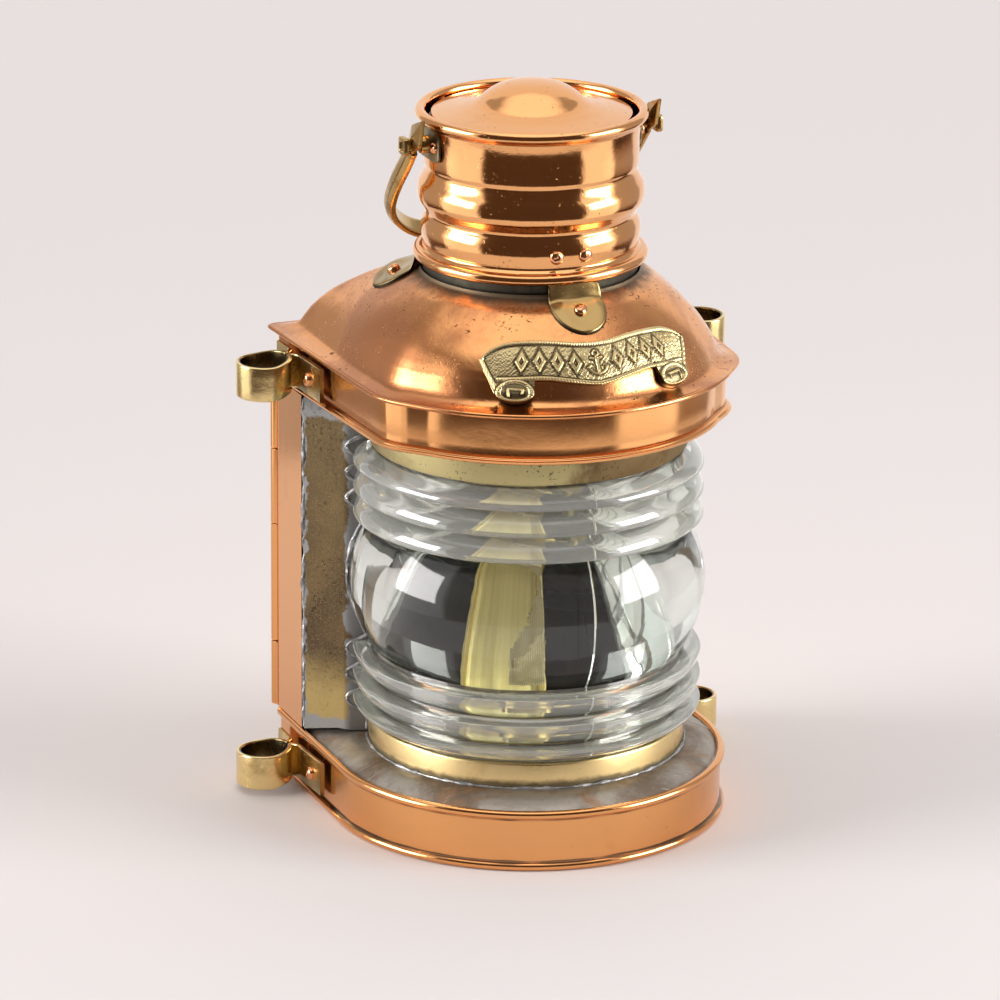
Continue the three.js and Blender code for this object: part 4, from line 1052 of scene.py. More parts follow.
def make_door_fittings():
    """A knob turned from one profile, and a tapering plate on a turned stud as the button beside it."""
    stem = [[4.6, 0.9], [3.4, 1.2], [1.9, 1.9], [1.75, 2.8], [2.3, 3.9], [3.9, 4.7], [4.6, 5.9], [3.9, 7.3]]
    knob = [[[0, -0.3], [4.4, -0.3], [4.6, 0.1]], spline(stem, 40), [[2.6, 8.0], [1.2, 8.2], [0, 8.25]]]
    knob = np.vstack(knob)
    lo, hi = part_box("door_knob")
    foot = ((lo.x + hi.x) * 500, lo.y * 1000, (lo.z + hi.z) * 500)
    grid = turned(knob, foot, (0, 1, 0), 64)
    skin("knob_of_door", grid, OLD, "rear_door", along=True, stands_for=["door_knob"])
    outline = filleted([[-3, -5], [3, -5], [3.2, 0], [2.4, 10], [0, 11.5], [-2.4, 10], [-3.2, 0]], 1.6)
    flat, tall = pad(outline, REAR_Y + 1.9, REAR_Y + 3.1, 0.3, 0.15)
    grid = np.stack([BUTTON[0] - flat[..., 0], tall, BUTTON[1] + flat[..., 1]], axis=2)
    skin("button_plate", grid, OLD, "turn_button", stands_for=["turn_button"])
    stud = [[0, 0.1], [3.2, 0.1], [3.2, 1.2], [3.0, 1.4], [1.4, 1.5], [1.4, 3.0], [2.9, 3.2], [3.0, 3.5]]
    stud = stud + [[2.6, 4.2], [1.6, 4.7], [0, 4.85]]
    grid = turned(stud, (BUTTON[0], REAR_Y, BUTTON[1]), (0, 1, 0), 40)
    skin("button_stud", grid, RIVET, along=True, stands_for=["turn_button_stud"])


# ---- Roof ----
DOME = [[38.4, 195.6], [42, 193.6], [45.7, 191.3], [51.6, 186.5], [57, 181], [60.2, 176.6], [62.3, 173]]
SKIRT = [[62.3, 173], [63.6, 170.0], [64.6, 167.6], [66.0, 165.9], [68.2, 165.0], [70.4, 164.5]]
OUTSIDE = np.vstack([spline(DOME, 60), spline(SKIRT, 26)[1:]])


def stretch(azimuth):
    """How much wider than in front the roof is in a direction, measured from the neck."""
    return (reach(FLANGE_PLAN, azimuth) - NECK_RADIUS) / (FLANGE_RADIUS - NECK_RADIUS)


def dome_height(x, y):
    """Height of the dome over a plan point: the front profile read at the unstretched radius."""
    azimuth = np.arctan2(x, -y)
    r = NECK_RADIUS + (np.hypot(x, y) - NECK_RADIUS) / stretch(azimuth)
    return np.interp(r, OUTSIDE[:, 0], OUTSIDE[:, 1])


def make_roof_band():
    """A section with a half-round bead at its foot, carried round the roof outline, leaning in below."""
    bead = arc((0.6, ROOF_BEAD_Z), ROOF_BEAD, -95, 95, 16)
    wall = [[0.05, 148.4]] + [[0, z] for z in range(149, 162, 2)] + [[0, BAND_TOP_Z]]
    inner = [[-SHEET, BAND_TOP_Z], [-SHEET, 145.6], [-0.6, 145.4]]
    section = np.vstack([bead, wall, inner])
    grid = carried(ROOF_PLAN, section)
    run = np.arange(len(ROOF_PLAN)) * PLAN_STEP
    dents = 0.10 * wander(run, 8, 48.0)[:, None] * np.exp(-(((section[:, 1] - 155) / 5) ** 2))[None]
    lean_in = -0.42 * np.clip((BAND_TOP_Z - section[:, 1]) / 14.0, 0, 1) ** 2 * (section[:, 1] > 147)
    grid[..., :2] += outward(ROOF_PLAN)[:, None] * (dents + lean_in[None])[..., None]
    skin("roof_wall", grid, COPPER_SHEET, along=True, stands_for=["roof_band"])


def make_dome():
    """The front profile, stretched in every direction to the roof outline, with waves left by the hammer."""
    rim = arc((70.75, 163.75), 0.85, 100, -120, 14)
    inside = OUTSIDE[::-1][6:] - [0.9, 0.75]
    lip = np.array([[37.6, 196.4], [37.9, 196.7], [38.15, 196.3]])
    profile = np.vstack([lip, OUTSIDE, rim, inside])
    azimuth = np.arctan2(FLANGE_PLAN[:, 0], -FLANGE_PLAN[:, 1])[:, None]
    r = NECK_RADIUS + (profile[None, :, 0] - NECK_RADIUS) * stretch(azimuth)
    hand = 0.22 * np.sin(3 * azimuth + 0.7) * np.exp(-(((profile[None, :, 0] - 55) / 7) ** 2))
    hand = hand + 0.14 * np.sin(8 * azimuth + 2) * np.exp(-(((profile[None, :, 0] - 60) / 5) ** 2))
    grid = front(np.degrees(azimuth), r + hand, profile[None, :, 1] + hand * 0.6)
    skin("dome_sheet", grid, (DOME_COPPER, "copper"), along=True, stands_for=["roof_dome"], crease=50)


# ---- Chimney, cap and spider ----
def make_chimney():
    """The chimney is one swaged profile turned about the axis, a little out of round, with a lapped seam."""
    waist = [[38.2, 203.95], [37.05, 205.2], [37.2, 206.6], [37.6, 208.8], [37.8, 210.8], [37.6, 213.0]]
    belly = [[36.9, 214.9], [36.35, 216.2], [36.6, 217.7], [37.6, 219.4], [38.7, 221.3], [39.1, 223.8]]
    neck = [[38.7, 226.8], [37.5, 229.3], [36.65, 231.4], [36.55, 232.8], [36.9, 234.4], [36.98, 237]]
    neck = neck + [[36.95, 240], [37.05, 243], [37.3, 245.5], [37.8, 248.6]]
    foot = np.vstack([[[37.2, 200.4]], arc((38.55, 202.0), 1.95, -75, 95, 18)])
    rim = np.vstack([arc((38.2, 251.3), 1.85, -70, 190, 26), [[36.1, 250.2]]])
    body = spline(waist + belly + neck, 110)
    inner = body[::-4] - [0.95, 0]
    profile = np.vstack([foot, body, rim, inner, [[36.4, 201]]])
    azimuth = np.linspace(0, 360, 240, endpoint=False)[:, None]
    out = 0.09 * np.sin(np.radians(azimuth) * 3 + 1) + 0.05 * np.sin(np.radians(azimuth) * 7)
    seam = 0.28 * np.clip((azimuth - 330.5) / 0.8, 0, 1) * (azimuth < 352)
    held = (profile[None, :, 1] < 249) & (profile[None, :, 1] > 204)
    grid = front(azimuth, profile[None, :, 0] + (out + seam * 0.6) * held, profile[None, :, 1])
    skin("chimney_tube", grid, (CHIMNEY_COPPER, "copper"), along=True, stands_for=["chimney"], crease=45)


def make_cap_and_neck():
    """The cap is a shallow bell turned about the axis, and the neck a plain ring under the chimney."""
    bell = [[0, 262], [4, 261.8], [8.2, 261.1], [12.4, 259.6], [15.8, 257.5], [18.2, 255.5], [20.4, 254.2]]
    bell = spline(bell + [[23, 253.4], [26, 252.6], [31, 251.7], [34.4, 251.05]], 70)
    under = bell[::-3] - [0, 0.85]
    grid = turned(np.vstack([bell, [[34.55, 250.6]], under, [[0, 261.1]]]), segments=160)
    skin("cap_bell", grid, (CHIMNEY_COPPER, "copper"), along=True, stands_for=["chimney_cap"])
    ring = [[35.8, 192.8], [36.9, 192.8], [37.1, 193.2], [37.1, 203.0], [36.9, 203.2], [35.8, 203.2]]
    grid = turned(ring, segments=128)
    skin("neck_collar", grid, (NECK_METAL, "tinned_sheet"), along=True, stands_for=["neck_ring"])


# ---- Rivets ----
def rivet(name, foot, direction, radius, seed, stands_for):
    """A hammered head: a flat foot, a domed crown and a slightly uneven rim."""
    a = np.linspace(0, 90, 12)
    crown = [radius * np.cos(np.radians(a)) ** 0.8, 0.25 + radius * 0.58 * np.sin(np.radians(a))]
    crown = np.stack(crown, axis=1)
    profile = np.vstack([[[0, -0.4], [radius * 0.96, -0.4], [radius, 0.0]], crown])
    profile[-1, 0] = 0
    grid = turned(profile, foot, direction, 36)
    angle = np.linspace(0, 2 * np.pi, 36, endpoint=False)
    lean = 1 + 0.03 * np.sin(2 * angle + seed) + 0.02 * np.sin(3 * angle + 2 * seed)
    grid = np.asarray(foot) + (grid - np.asarray(foot)) * lean[:, None, None]
    skin(name, grid, RIVET, along=True, stands_for=stands_for)


# ---- Straps ----
def make_straps():
    """Three brass straps from under the chimney down the dome, each ending in a round, dished head.

    A strap is a plan strip whose half width is a chord of the head, laid at the dome's height.
    """
    head_radius = 9.85
    past_rivet = 7.2
    for name, degrees in (("front", 0), ("left", -120), ("right", 120)):
        azimuth = np.radians(degrees)
        wide = float(stretch(azimuth))
        rivet_r = NECK_RADIUS + (45.2 - NECK_RADIUS) * wide
        head_r = rivet_r + past_rivet - head_radius
        neck_r = np.linspace(38.9, head_r - past_rivet, 14)
        r = np.concatenate([neck_r, head_r + head_radius * np.sin(np.radians(np.linspace(-46, 90, 44)))])
        chord = np.sqrt(np.maximum(head_radius**2 - (r - head_r) ** 2, 0))
        half = np.where(r < head_r, np.maximum(chord, 6.5), chord)
        t = np.concatenate([[-1], np.sin(np.linspace(-np.pi / 2, np.pi / 2, 23))[1:-1], [1]])
        out = np.array([np.sin(azimuth), -np.cos(azimuth)])
        side = np.array([-out[1], out[0]])
        plan = r[:, None, None] * out + (half[:, None] * t[None])[..., None] * side
        z = dome_height(plan[..., 0], plan[..., 1]) + 1.45
        lift = np.clip((40.9 - r) / 2.0, 0, 1)
        z = z + (4.2 * lift**1.6)[:, None]
        away = np.hypot(r[:, None] - rivet_r, half[:, None] * t[None])
        z = z - 0.45 * np.exp(-((away / 4.2) ** 2)) + 0.12 * np.cos(away * 0.9)
        to_side = half[:, None] * (1 - np.abs(t[None]))
        rim = np.clip(np.minimum(to_side, (rivet_r + past_rivet - r)[:, None]) / 0.5, 0, 1)
        z = z - 0.4 * (1 - np.sqrt(rim * (2 - rim)))
        top = np.concatenate([plan, z[..., None]], axis=2)
        low = np.concatenate([plan[:, ::-1], (z[:, ::-1] - 0.9)[..., None]], axis=2)
        grid = np.concatenate([top, low], axis=1)
        finish = (STRAP_BRASS, "brass")
        skin("strap_sheet_" + name, grid, finish, caps=True, stands_for=["strap_" + name], crease=50)
        at = out * rivet_r
        foot = (at[0], at[1], float(dome_height(at[0], at[1])) + 1.2)
        slope = (out[0] * 0.5, out[1] * 0.5, 0.85)
        rivet("strap_rivet_" + name, foot, slope, 2.3, degrees, stands_for=["rivet_strap_" + name])
    for name, degrees in (("left", -8.8), ("right", 7)):
        foot = front(degrees, 37.75, 209.6)
        label = "chimney_rivet_" + name
        rivet(label, foot, front(degrees, 1, 0), 2.4, degrees, stands_for=["rivet_chimney_" + name])


# ---- Name plate ----
def smooth(value):
    """A smooth step from 0 to 1: three squares of the value less two cubes."""
    value = np.clip(value, 0, 1)
    return value * value * (3 - 2 * value)


def bar(u, w, x0, y0, x1, y1, half):
    """How far inside a rounded bar each point is, from its distance to the bar's middle line."""
    dx, dy = x1 - x0, y1 - y0
    t = np.clip(((u - x0) * dx + (w - y0) * dy) / (dx * dx + dy * dy), 0, 1)
    return half - np.hypot(u - x0 - t * dx, w - y0 - t * dy)


def emblems(u, w):
    """An anchor in the middle and tall diamonds either side: how far inside a raised shape each point is."""
    shape = bar(u, w, 0, -3.7, 0, 2.8, 0.6)
    shape = np.maximum(shape, bar(u, w, -1.9, 2.1, 1.9, 2.1, 0.45))
    shape = np.maximum(shape, 0.42 - np.abs(np.hypot(u, w - 3.8) - 0.9))
    curve = 0.55 - np.abs(np.hypot(u, w + 0.2) - 3.5)
    shape = np.maximum(shape, np.where(w < -1.3, curve, -2))
    shape = np.maximum(shape, bar(u, w, -3.3, -1.6, -2.3, -0.7, 0.5))
    shape = np.maximum(shape, bar(u, w, 3.3, -1.6, 2.3, -0.7, 0.5))
    for centre in (7.4, 13.4, 19.4, 25.4):
        for side in (-1, 1):
            size = 1 - np.abs(u - side * centre) / 2.3 - np.abs(w) / 4.2
            shape = np.maximum(shape, np.where(size > 0.5, 0.5 - (size - 0.5) * 2.6, size * 1.5))
    return shape


def dome_point(azimuth, z, proud):
    """A point over the dome's front at an azimuth and a height, stood off along the surface normal."""
    order = OUTSIDE[::-1]
    r = np.interp(z, order[:, 1], order[:, 0])
    slope = np.gradient(order[:, 0], order[:, 1])
    fall = np.interp(z, order[:, 1], slope)
    length = np.sqrt(1 + fall**2)
    return front(azimuth, r + proud / length, z - proud * fall / length)


def hammered(u, w, seed):
    """Ground beaten with a small punch: the largest of several slanted ripples."""
    one = np.sin(u * 5.1 + 1.3 * np.sin(w * 2.3 + seed))
    two = np.sin(w * 5.7 + 1.7 * np.sin(u * 1.9 + 2 * seed))
    three = np.sin((u + w) * 3.7 + 1.1 * np.sin(u * 3.1))
    return one * two * 0.5 + three * 0.3


# Outlines of the ribbon's right half as azimuth and height, and a curl's middle and half sizes likewise.
# Widths are measured at radius RIBBON_R on the ribbon and CURL_R on a curl. SLANT is face length per height.
RIBBON_TOP = [[0, 183.9], [6, 184.1], [14, 184.8], [22, 184.9], [29, 184.4], [33, 183.4], [36.4, 181.6]]
RIBBON_TOP = RIBBON_TOP + [[39, 178.6]]
RIBBON_FOOT = [[0, 171.3], [4, 171.8], [9, 172.6], [15, 173.5], [19, 173.7], [20.7, 173.6]]
RIBBON_END = [[32.4, 168.6], [35.2, 173.6], [39, 178.5]]
CURL = (26.5, 170.0, 5.9, 3.8)
RIBBON_R = 58.5
CURL_R = 61.0
SLANT = 1.28


def groove(inset, at, width):
    """A narrow bell of painted shade along a line at one distance from the edge."""
    return np.exp(-(((inset - at) / width) ** 2))


def make_name_plate():
    """A ribbon on the dome as a height field, each end rolled under into an oval curl.

    It has a rope border, a punched ground and raised emblems. Its relief number paints shade in their
    hollows.
    """
    curl_in, curl_out, end = 20.7, 32.4, 38.9
    stretches = [np.linspace(0, curl_in, 210), np.linspace(curl_in + 0.1, curl_out, 150)]
    a = np.concatenate(stretches + [np.linspace(curl_out + 0.1, end, 90)])
    middle_a, middle_z, half_a, half_z = CURL
    oval = middle_z - half_z * np.sqrt(np.clip(1 - ((a - middle_a) / half_a) ** 2, 0, 1))
    top = np.interp(a, *spline(RIBBON_TOP, 200).T)
    foot = np.interp(a, *np.array(RIBBON_FOOT).T)
    foot = np.where((a > curl_in + 0.05) & (a < curl_out + 0.05), oval, foot)
    foot = np.where(a >= curl_out + 0.05, np.interp(a, *np.array(RIBBON_END).T), foot)
    a = np.concatenate([-a[:0:-1], a])
    top = np.concatenate([top[:0:-1], top])
    foot = np.concatenate([foot[:0:-1], foot])
    v = np.linspace(0, 1, 104)
    z = top[:, None] + (foot - top)[:, None] * v[None]
    u = np.radians(a)[:, None] * RIBBON_R * np.ones_like(v)[None]
    down = SLANT * (top[:, None] - z)
    body_foot = np.interp(np.abs(a), *np.array(RIBBON_FOOT + [[curl_out, 173.0]] + RIBBON_END[1:]).T)
    body_down = SLANT * (z - body_foot[:, None])
    end_in = np.radians(end - np.abs(a))[:, None] * RIBBON_R - 0.75 * np.maximum(0, 179 - z)
    inset = np.minimum(np.minimum(down, body_down), np.maximum(end_in, 0))
    x = np.radians(np.abs(a) - middle_a)[:, None] * CURL_R
    y = SLANT * (z - middle_z)
    oval_in = (1 - np.hypot(x / 6.2, (z - middle_z) / half_z)) * 5.2
    in_oval = smooth((oval_in + 0.5) / 0.4)
    outer = np.abs(a)[:, None] > curl_out
    inset = np.where(outer, np.minimum(down, np.maximum(end_in, 0)), inset)
    rope = np.sqrt(np.clip(1 - ((inset - 0.85) / 0.8) ** 2, 0, 1))
    hatch = 0.5 + 0.5 * np.sin(2 * np.pi * (u / 0.95 + inset / 1.7))
    ground = smooth((inset - 1.8) / 0.4)
    beaten = hammered(u, down, 3.0)
    shape = emblems(u, SLANT * (z - ((top + body_foot) / 2)[:, None]))
    raised = smooth(shape / 0.35) * ground
    relief = 0.55 * rope * (0.7 + 0.3 * hatch) + 0.13 * beaten * ground + (0.55 - 0.1 * beaten) * raised
    # Painted shade: a low tone darkens the punched ground a little, and the grooves inside the border and
    # round the emblems most.
    tone = 0.36 + 0.13 * beaten + 0.5 * rope * (0.5 + 0.5 * hatch) + 0.6 * raised
    tone = tone - 0.35 * groove(inset, 1.85, 0.3) - 0.4 * groove(shape, -0.25, 0.3) * ground
    curl_rope = np.sqrt(np.clip(1 - ((oval_in - 0.8) / 0.75) ** 2, 0, 1))
    hook = np.maximum(bar(x, y, -2.6, 1.0, 2.2, 1.2, 0.55), bar(x, y, 2.2, 1.2, 1.9, -1.8, 0.5))
    hook = np.maximum(hook, bar(x, y, -2.6, 1.0, -2.3, -0.4, 0.45))
    curl_hatch = 0.5 + 0.5 * np.sin(2 * np.pi * (np.arctan2(y, x) * 5.0 + oval_in / 1.7))
    hook_in = smooth(hook / 0.35)
    curl_relief = 0.5 + 0.55 * curl_rope * (0.75 + 0.25 * curl_hatch) + 0.5 * hook_in + 0.05 * beaten
    # Painted shade likewise in the groove round each curl's oval and round its hook.
    curl_tone = 0.22 + 0.65 * curl_rope * (0.6 + 0.4 * curl_hatch) + 0.6 * hook_in
    curl_tone = curl_tone - 0.4 * groove(oval_in, -0.1, 0.35) - 0.2 * groove(hook, -0.25, 0.3)
    relief = relief + (curl_relief - relief) * in_oval
    tone = tone + (curl_tone - tone) * in_oval
    from_end = np.maximum(end_in, 0) + (np.abs(a)[:, None] < 37) * 9
    border = np.minimum(np.minimum(down, SLANT * (z - foot[:, None])), from_end)
    rolled = 0.6 * (1 - np.sqrt(np.clip(1 - (1 - np.clip(border / 0.45, 0, 1)) ** 2, 0, 1)))
    proud = 1.05 + relief - rolled
    stand_off = 0.9 * smooth((173.0 - z) / 4.0)
    face = dome_point(a[:, None], z, proud + stand_off)
    back = dome_point(a[:, None], z[:, ::-26][:, :4], np.full((len(a), 4), 0.35))
    shade_tones = np.concatenate([tone, np.zeros((len(a), 4))], axis=1)
    grid = np.concatenate([face, back], axis=1)
    finish = (PLATE_BRASS, "brass")
    skin("ribbon", grid, finish, caps=True, stands_for=["name_plate"], crease=70, relief=shade_tones)


# ---- Handle, ears and pivots ----
def swung(x, along, across):
    """From the handle's own plane to the lantern: turned down about the pivots by the droop."""
    a = np.radians(-HANDLE_DROOP)
    y = along * np.cos(a) - across * np.sin(a)
    z = along * np.sin(a) + across * np.cos(a) + PIVOT_Z
    return np.stack(np.broadcast_arrays(x, y, z), axis=-1)


def make_handle():
    """A strap bow, straight arms running into a superellipse, with a pointed leaf over each pivot."""
    straight = 24.0
    bow = HANDLE_REACH - straight
    t = np.radians(np.linspace(0, 90, 60))
    quarter = np.stack([HANDLE_X * np.cos(t) ** 0.87, straight + bow * np.sin(t) ** 0.87], axis=1)
    arm = np.array([[HANDLE_X, 1.5], [HANDLE_X, 12.0]])
    half_line = np.vstack([arm, quarter])
    line = np.vstack([half_line, (half_line * [-1, 1])[::-1][1:]])
    step = 0.8
    line = respaced(line, step, closed=False)
    normal = outward(line, closed=False)
    corners = [[1, 0.42], [0.3, 0.97], [-0.8, 1], [-1, 0.7], [-1, -0.7], [-0.8, -1], [0.3, -0.97], [1, -0.42]]
    section = filleted(np.array(corners) * [1.65, 3.5], 0.55, steps=4)
    wave = 0.12 * wander(np.arange(len(line)) * step, 12, 20.0)
    flat = line[:, None] + normal[:, None] * (section[None, :, 0] + wave[:, None])[..., None]
    settle = 0.3 + 0.2 * flat[..., 0] / HANDLE_X
    grid = swung(flat[..., 0] - settle, flat[..., 1], section[None, :, 1])
    skin("handle_bow", grid, OLD, "handle", caps=True, stands_for=["handle"], crease=30)
    outline = [[-3, 0], [-4.6, 6], [0, 15.5], [4.6, 6], [3, 0], [2.6, -5], [-2.6, -5]]
    outline = filleted(outline, [0.8, 1.0, 0.7, 1.0, 0.8, 1.0, 1.0])
    outline = respaced(outline, 0.35)
    middle = np.array([0.0, 5.0])
    share = np.array([0, 0.15, 0.3, 0.45, 0.6, 0.75, 0.88, 0.96, 1.0])
    thick = np.array([1.85, 1.75, 1.6, 1.42, 1.2, 1.0, 0.85, 0.72, 0.4])
    share = np.concatenate([share, share[::-1]])
    thick = np.concatenate([thick, -0.85 * thick[::-1]])
    flat = middle + (outline - middle)[None] * share[:, None, None]
    for side, name in ((-1, "left"), (1, "right")):
        across = side * (HANDLE_X + thick[:, None]) - (0.5 if side > 0 else 0.1)
        grid = swung(across, -flat[..., 1], flat[..., 0])
        skin("handle_leaf_" + name, grid, OLD, "handle", crease=25)


def make_ears_and_pivots():
    """Rounded plates bent round the chimney, and turned pins with squared heads that carry the handle."""
    for side, name in ((-1, "left"), (1, "right")):
        outline = filleted([[-8.4, -5.3], [8.4, -5.3], [8.4, 5.3], [-8.4, 5.3]], 2.6)
        flat, tall = pad(outline, 37.25, 38.4, 0.3)
        azimuth = side * 90 + np.degrees(flat[..., 0] / CHIMNEY_RADIUS)
        grid = front(azimuth, tall, PIVOT_Z - 0.1 + flat[..., 1])
        skin("ear_plate_" + name, grid, (EAR_BRASS, "brass"), stands_for=["ear_" + name])
        at = (side * PIVOT_X, 0, PIVOT_Z)
        out = (side, 0, 0)
        shoulder = [[0, -0.6], [3.1, -0.6], [3.1, 2.0], [2.9, 2.3], [1.85, 2.4], [1.85, 4.6], [0, 4.6]]
        skin("pivot_shoulder_" + name, turned(shoulder, at, out, 40), OLD, along=True)
        head = [[0, 4.5], [1.85, 4.5], [1.85, 6.8], [2.9, 6.9], [3.1, 7.2], [3.1, 8.5], [2.9, 8.85]]
        head = head + [[2.0, 8.9], [1.7, 8.6], [1.5, 8.2], [0, 8.1]]
        grid = turned(head, at, out, 72, squareness=5)
        skin("pivot_head_" + name, grid, OLD, along=True, stands_for=["pivot_" + name])
        for place_name, y in (("front", -6), ("rear", 6)):
            x = side * np.sqrt(38.4**2 - y * y)
            label = "ear_rivet_%s_%s" % (name, place_name)
            node = "rivet_ear_%s_%s" % (name, place_name)
            rivet(label, (x, y, PIVOT_Z), (x, y, 0), 1.9, y, stands_for=[node])


# ---- Lugs ----
def make_lugs():
    """Strip bent into an open loop that stands off the wall, with a leaf each way, hung a little askew.

    A rounded rectangle is carried along the bent plan line. Its relief number is low on the leaves and in the
    loop, where it paints their shade into the colour.
    """
    taper = np.arctan2(PANEL_X - ROOF_KINK[0], REAR_Y - ROOF_KINK[1])
    upper_x = PANEL_X - (REAR_Y - LUG_EYE[1]) * np.tan(taper)
    # Foot height, wall, its slant, length ahead, front rivet, lift of the front and drop of the loop.
    kinds = {
        "lower": (4.0, BASE_RADIUS, 0.0, 28.2, -19, 1.25, -1.7),
        "upper": (148.4, upper_x, taper, 22.6, -12.8, -0.4, -1.9),
    }
    aft = 14.4
    rear_rivet = 9.2
    leaf = 2.15
    half = STRIP / 2
    step = 0.45
    for level, (z, wall_x, lean, fore, front_rivet, front_lift, loop_drop) in kinds.items():
        neck = LUG_EYE[0] - wall_x
        flank = half + 0.45
        middle = LUG_EYE_RADIUS + half
        opening = np.degrees(np.arcsin(flank / middle))
        a = np.radians(np.linspace(180 + opening, 540 - opening, 60))
        loop = np.stack([middle * np.sin(a), neck + middle * np.cos(a)], axis=1)
        ends = [[-fore, leaf], [-flank - 2.4, leaf], [-flank, leaf + 2.4]]
        ends_aft = [[flank, leaf + 2.4], [flank + 2.4, leaf], [aft, leaf]]
        line = np.vstack([filleted(ends + [loop[0]], [0, 1.8, 1.2, 0], closed=False), loop[1:-1]])
        line = np.vstack([line, filleted([loop[-1]] + ends_aft, [0, 1.2, 1.8, 0], closed=False)])
        line = respaced(line, step, closed=False)
        section = filleted([[-half, 0], [half, 0], [half, LUG_HEIGHT], [-half, LUG_HEIGHT]], 0.5, steps=4)
        section = np.vstack([section, [[-half, LUG_HEIGHT * 0.66], [-half, LUG_HEIGHT * 0.33]]])
        normal = outward(line, closed=False)
        out = np.clip((line[:, 1] - leaf) / (neck + middle - leaf), 0, 1)
        drop = loop_drop * smooth(out * 1.6) + front_lift * np.clip(-line[:, 0] / fore, 0, 1)
        run = np.arange(len(line)) * step
        bend = 0.1 * wander(run, 31, 14.0)
        flat = line[:, None] + normal[:, None] * (section[None, :, 0] + bend[:, None])[..., None]
        from_eye = np.hypot(flat[..., 0], flat[..., 1] - neck) - middle
        on_loop = np.clip((flat[..., 1] - leaf - 1.0) / 2.5, 0, 1)
        # Painted shade: a low relief number on the leaves and on the inner face of the loop darkens them.
        relief = 0.29 + on_loop * np.clip(from_eye / half, -0.17, 0.7) + 0.06 * wander(run, 7, 9.0)[:, None]
        tall = z + section[None, :, 1] + drop[:, None]
        for side, name in ((-1, "left"), (1, "right")):
            x = wall_x + flat[..., 1] * np.cos(lean) + flat[..., 0] * np.sin(lean)
            y = LUG_EYE[1] + flat[..., 0] * np.cos(lean) - flat[..., 1] * np.sin(lean)
            grid = np.stack([side * x, y, np.broadcast_to(tall, x.shape)], axis=-1)
            label = "lug_%s_%s" % (level, name)
            piece = "lug_strip_%s_%s" % (level, name)
            skin(piece, grid, (LUG_BRASS, "brass"), caps=True, stands_for=[label], relief=relief)
            for spot, s in (("front", front_rivet), ("rear", rear_rivet)):
                n = leaf + half + 0.05
                px = side * (wall_x + n * np.cos(lean) + s * np.sin(lean))
                py = LUG_EYE[1] + s * np.cos(lean) - n * np.sin(lean)
                pz = z + LUG_HEIGHT * 0.48 + front_lift * max(0.0, -s / fore)
                way = (side * np.cos(lean), -np.sin(lean), 0)
                node = "rivet_%s_%s" % (label, spot)
                piece = "lug_rivet_%s_%s_%s" % (level, name, spot)
                rivet(piece, (px, py, pz), way, 2.4, s, stands_for=[node])


# ---- Inside ----
def make_reflector():
    """An upright brass sheet behind the flame, with a bead along each edge and its wings bent back."""
    x = np.linspace(-14.9, 14.9, 70)
    wing = 3.2 * np.clip((np.abs(x) - 13.4) / 1.5, 0, 1) ** 1.5
    bead = 0.9 * np.exp(-(((np.abs(x) - 12.2) / 0.6) ** 2))
    path = np.stack([x, 23.4 - wing - bead + 0.1 * np.sin(x * 0.7)], axis=1)
    grid = standing(path, 0.7, 25.4, PANEL_TOP_Z)
    skin("reflector_sheet", grid, (DRAWN_BRASS, "brass"), caps=True, stands_for=["reflector"])


def make_font():
    """The oil font is one profile turned about the axis, and its filler cap another, with a milled rim."""
    font = [[0, 4.6], [38.5, 4.6], [39.4, 5.4], [39.5, 6.5], [39.5, 24.6], [39.8, 25.3], [43.0, 25.4]]
    font = font + [[43.4, 25.9], [43.0, 26.4], [39.4, 26.6], [38.2, 27.1], [37.2, 28.7], [35.6, 29.3]]
    font = font + [[20, 29.4], [0, 29.4]]
    skin("font_tank", turned(font, segments=128), LAMP, along=True, stands_for=["oil_font"])
    cap = [[0, 29.3], [5.4, 29.3], [5.5, 29.8], [5.5, 32.2], [5.2, 32.9], [4.5, 33.5], [3, 33.8], [0, 33.9]]
    cap = np.array(cap)
    a = np.linspace(0, 2 * np.pi, 96, endpoint=False)[:, None]
    grid = turned(cap, (FILLER_X, 0, 0), segments=96)
    milled = 1 + 0.03 * np.sin(24 * a) * ((cap[:, 1] > 29.5) & (cap[:, 1] < 33))[None]
    grid[..., 0] = FILLER_X + (grid[..., 0] - FILLER_X) * milled
    grid[..., 1] = grid[..., 1] * milled
    skin("filler_screw", grid, LAMP, along=True, stands_for=["filler_cap"])


def stacked(rings, heights):
    """Plan outlines of the same number of points, one above another at the given heights."""
    return np.stack([np.column_stack([ring, np.full(len(ring), z)]) for ring, z in zip(rings, heights)])


def make_burner_and_wick():
    """A turned cone, the flat tube in it as rings of one outline, and the wick tape standing in the tube."""
    cone = [[15, 29.5], [15, 31.5], [14.6, 34.2], [12, 37.4], [10, 40.2], [9, 43], [9, 50.6], [6, 51.6]]
    cone = np.vstack([[[0, 29.3]], spline(cone, 50), [[0, 52]]])
    skin("burner_cone", turned(cone, segments=96), LAMP, along=True, stands_for=["burner"])
    outline = filleted([[-8.2, -2.7], [8.2, -2.7], [8.2, 2.7], [-8.2, 2.7]], 2.2)
    inner = filleted([[-6.9, -1.5], [6.9, -1.5], [6.9, 1.5], [-6.9, 1.5]], 1.2)
    heights = np.array([48.0, 61.6, 62.0, 62.0, 61.6, 50.0])
    rings = [outline, outline, outline * 0.985, inner * 1.02, inner, inner]
    skin("wick_tube", stacked(rings, heights), LAMP, caps=True)
    wick = filleted([[-6.5, -1.1], [6.5, -1.1], [6.5, 1.1], [-6.5, 1.1]], 0.9)
    wick = respaced(wick, 0.5)
    heights = np.concatenate([[37.0], np.linspace(37.2, 63.2, 40), [63.5]])
    rings = [wick * 0.96] + [wick] * 40 + [wick * 0.96]
    grid = stacked(rings, heights)
    skin("wick_tape", grid, (COTTON, "wick_cotton"), "wick", caps=True, stands_for=["wick"])


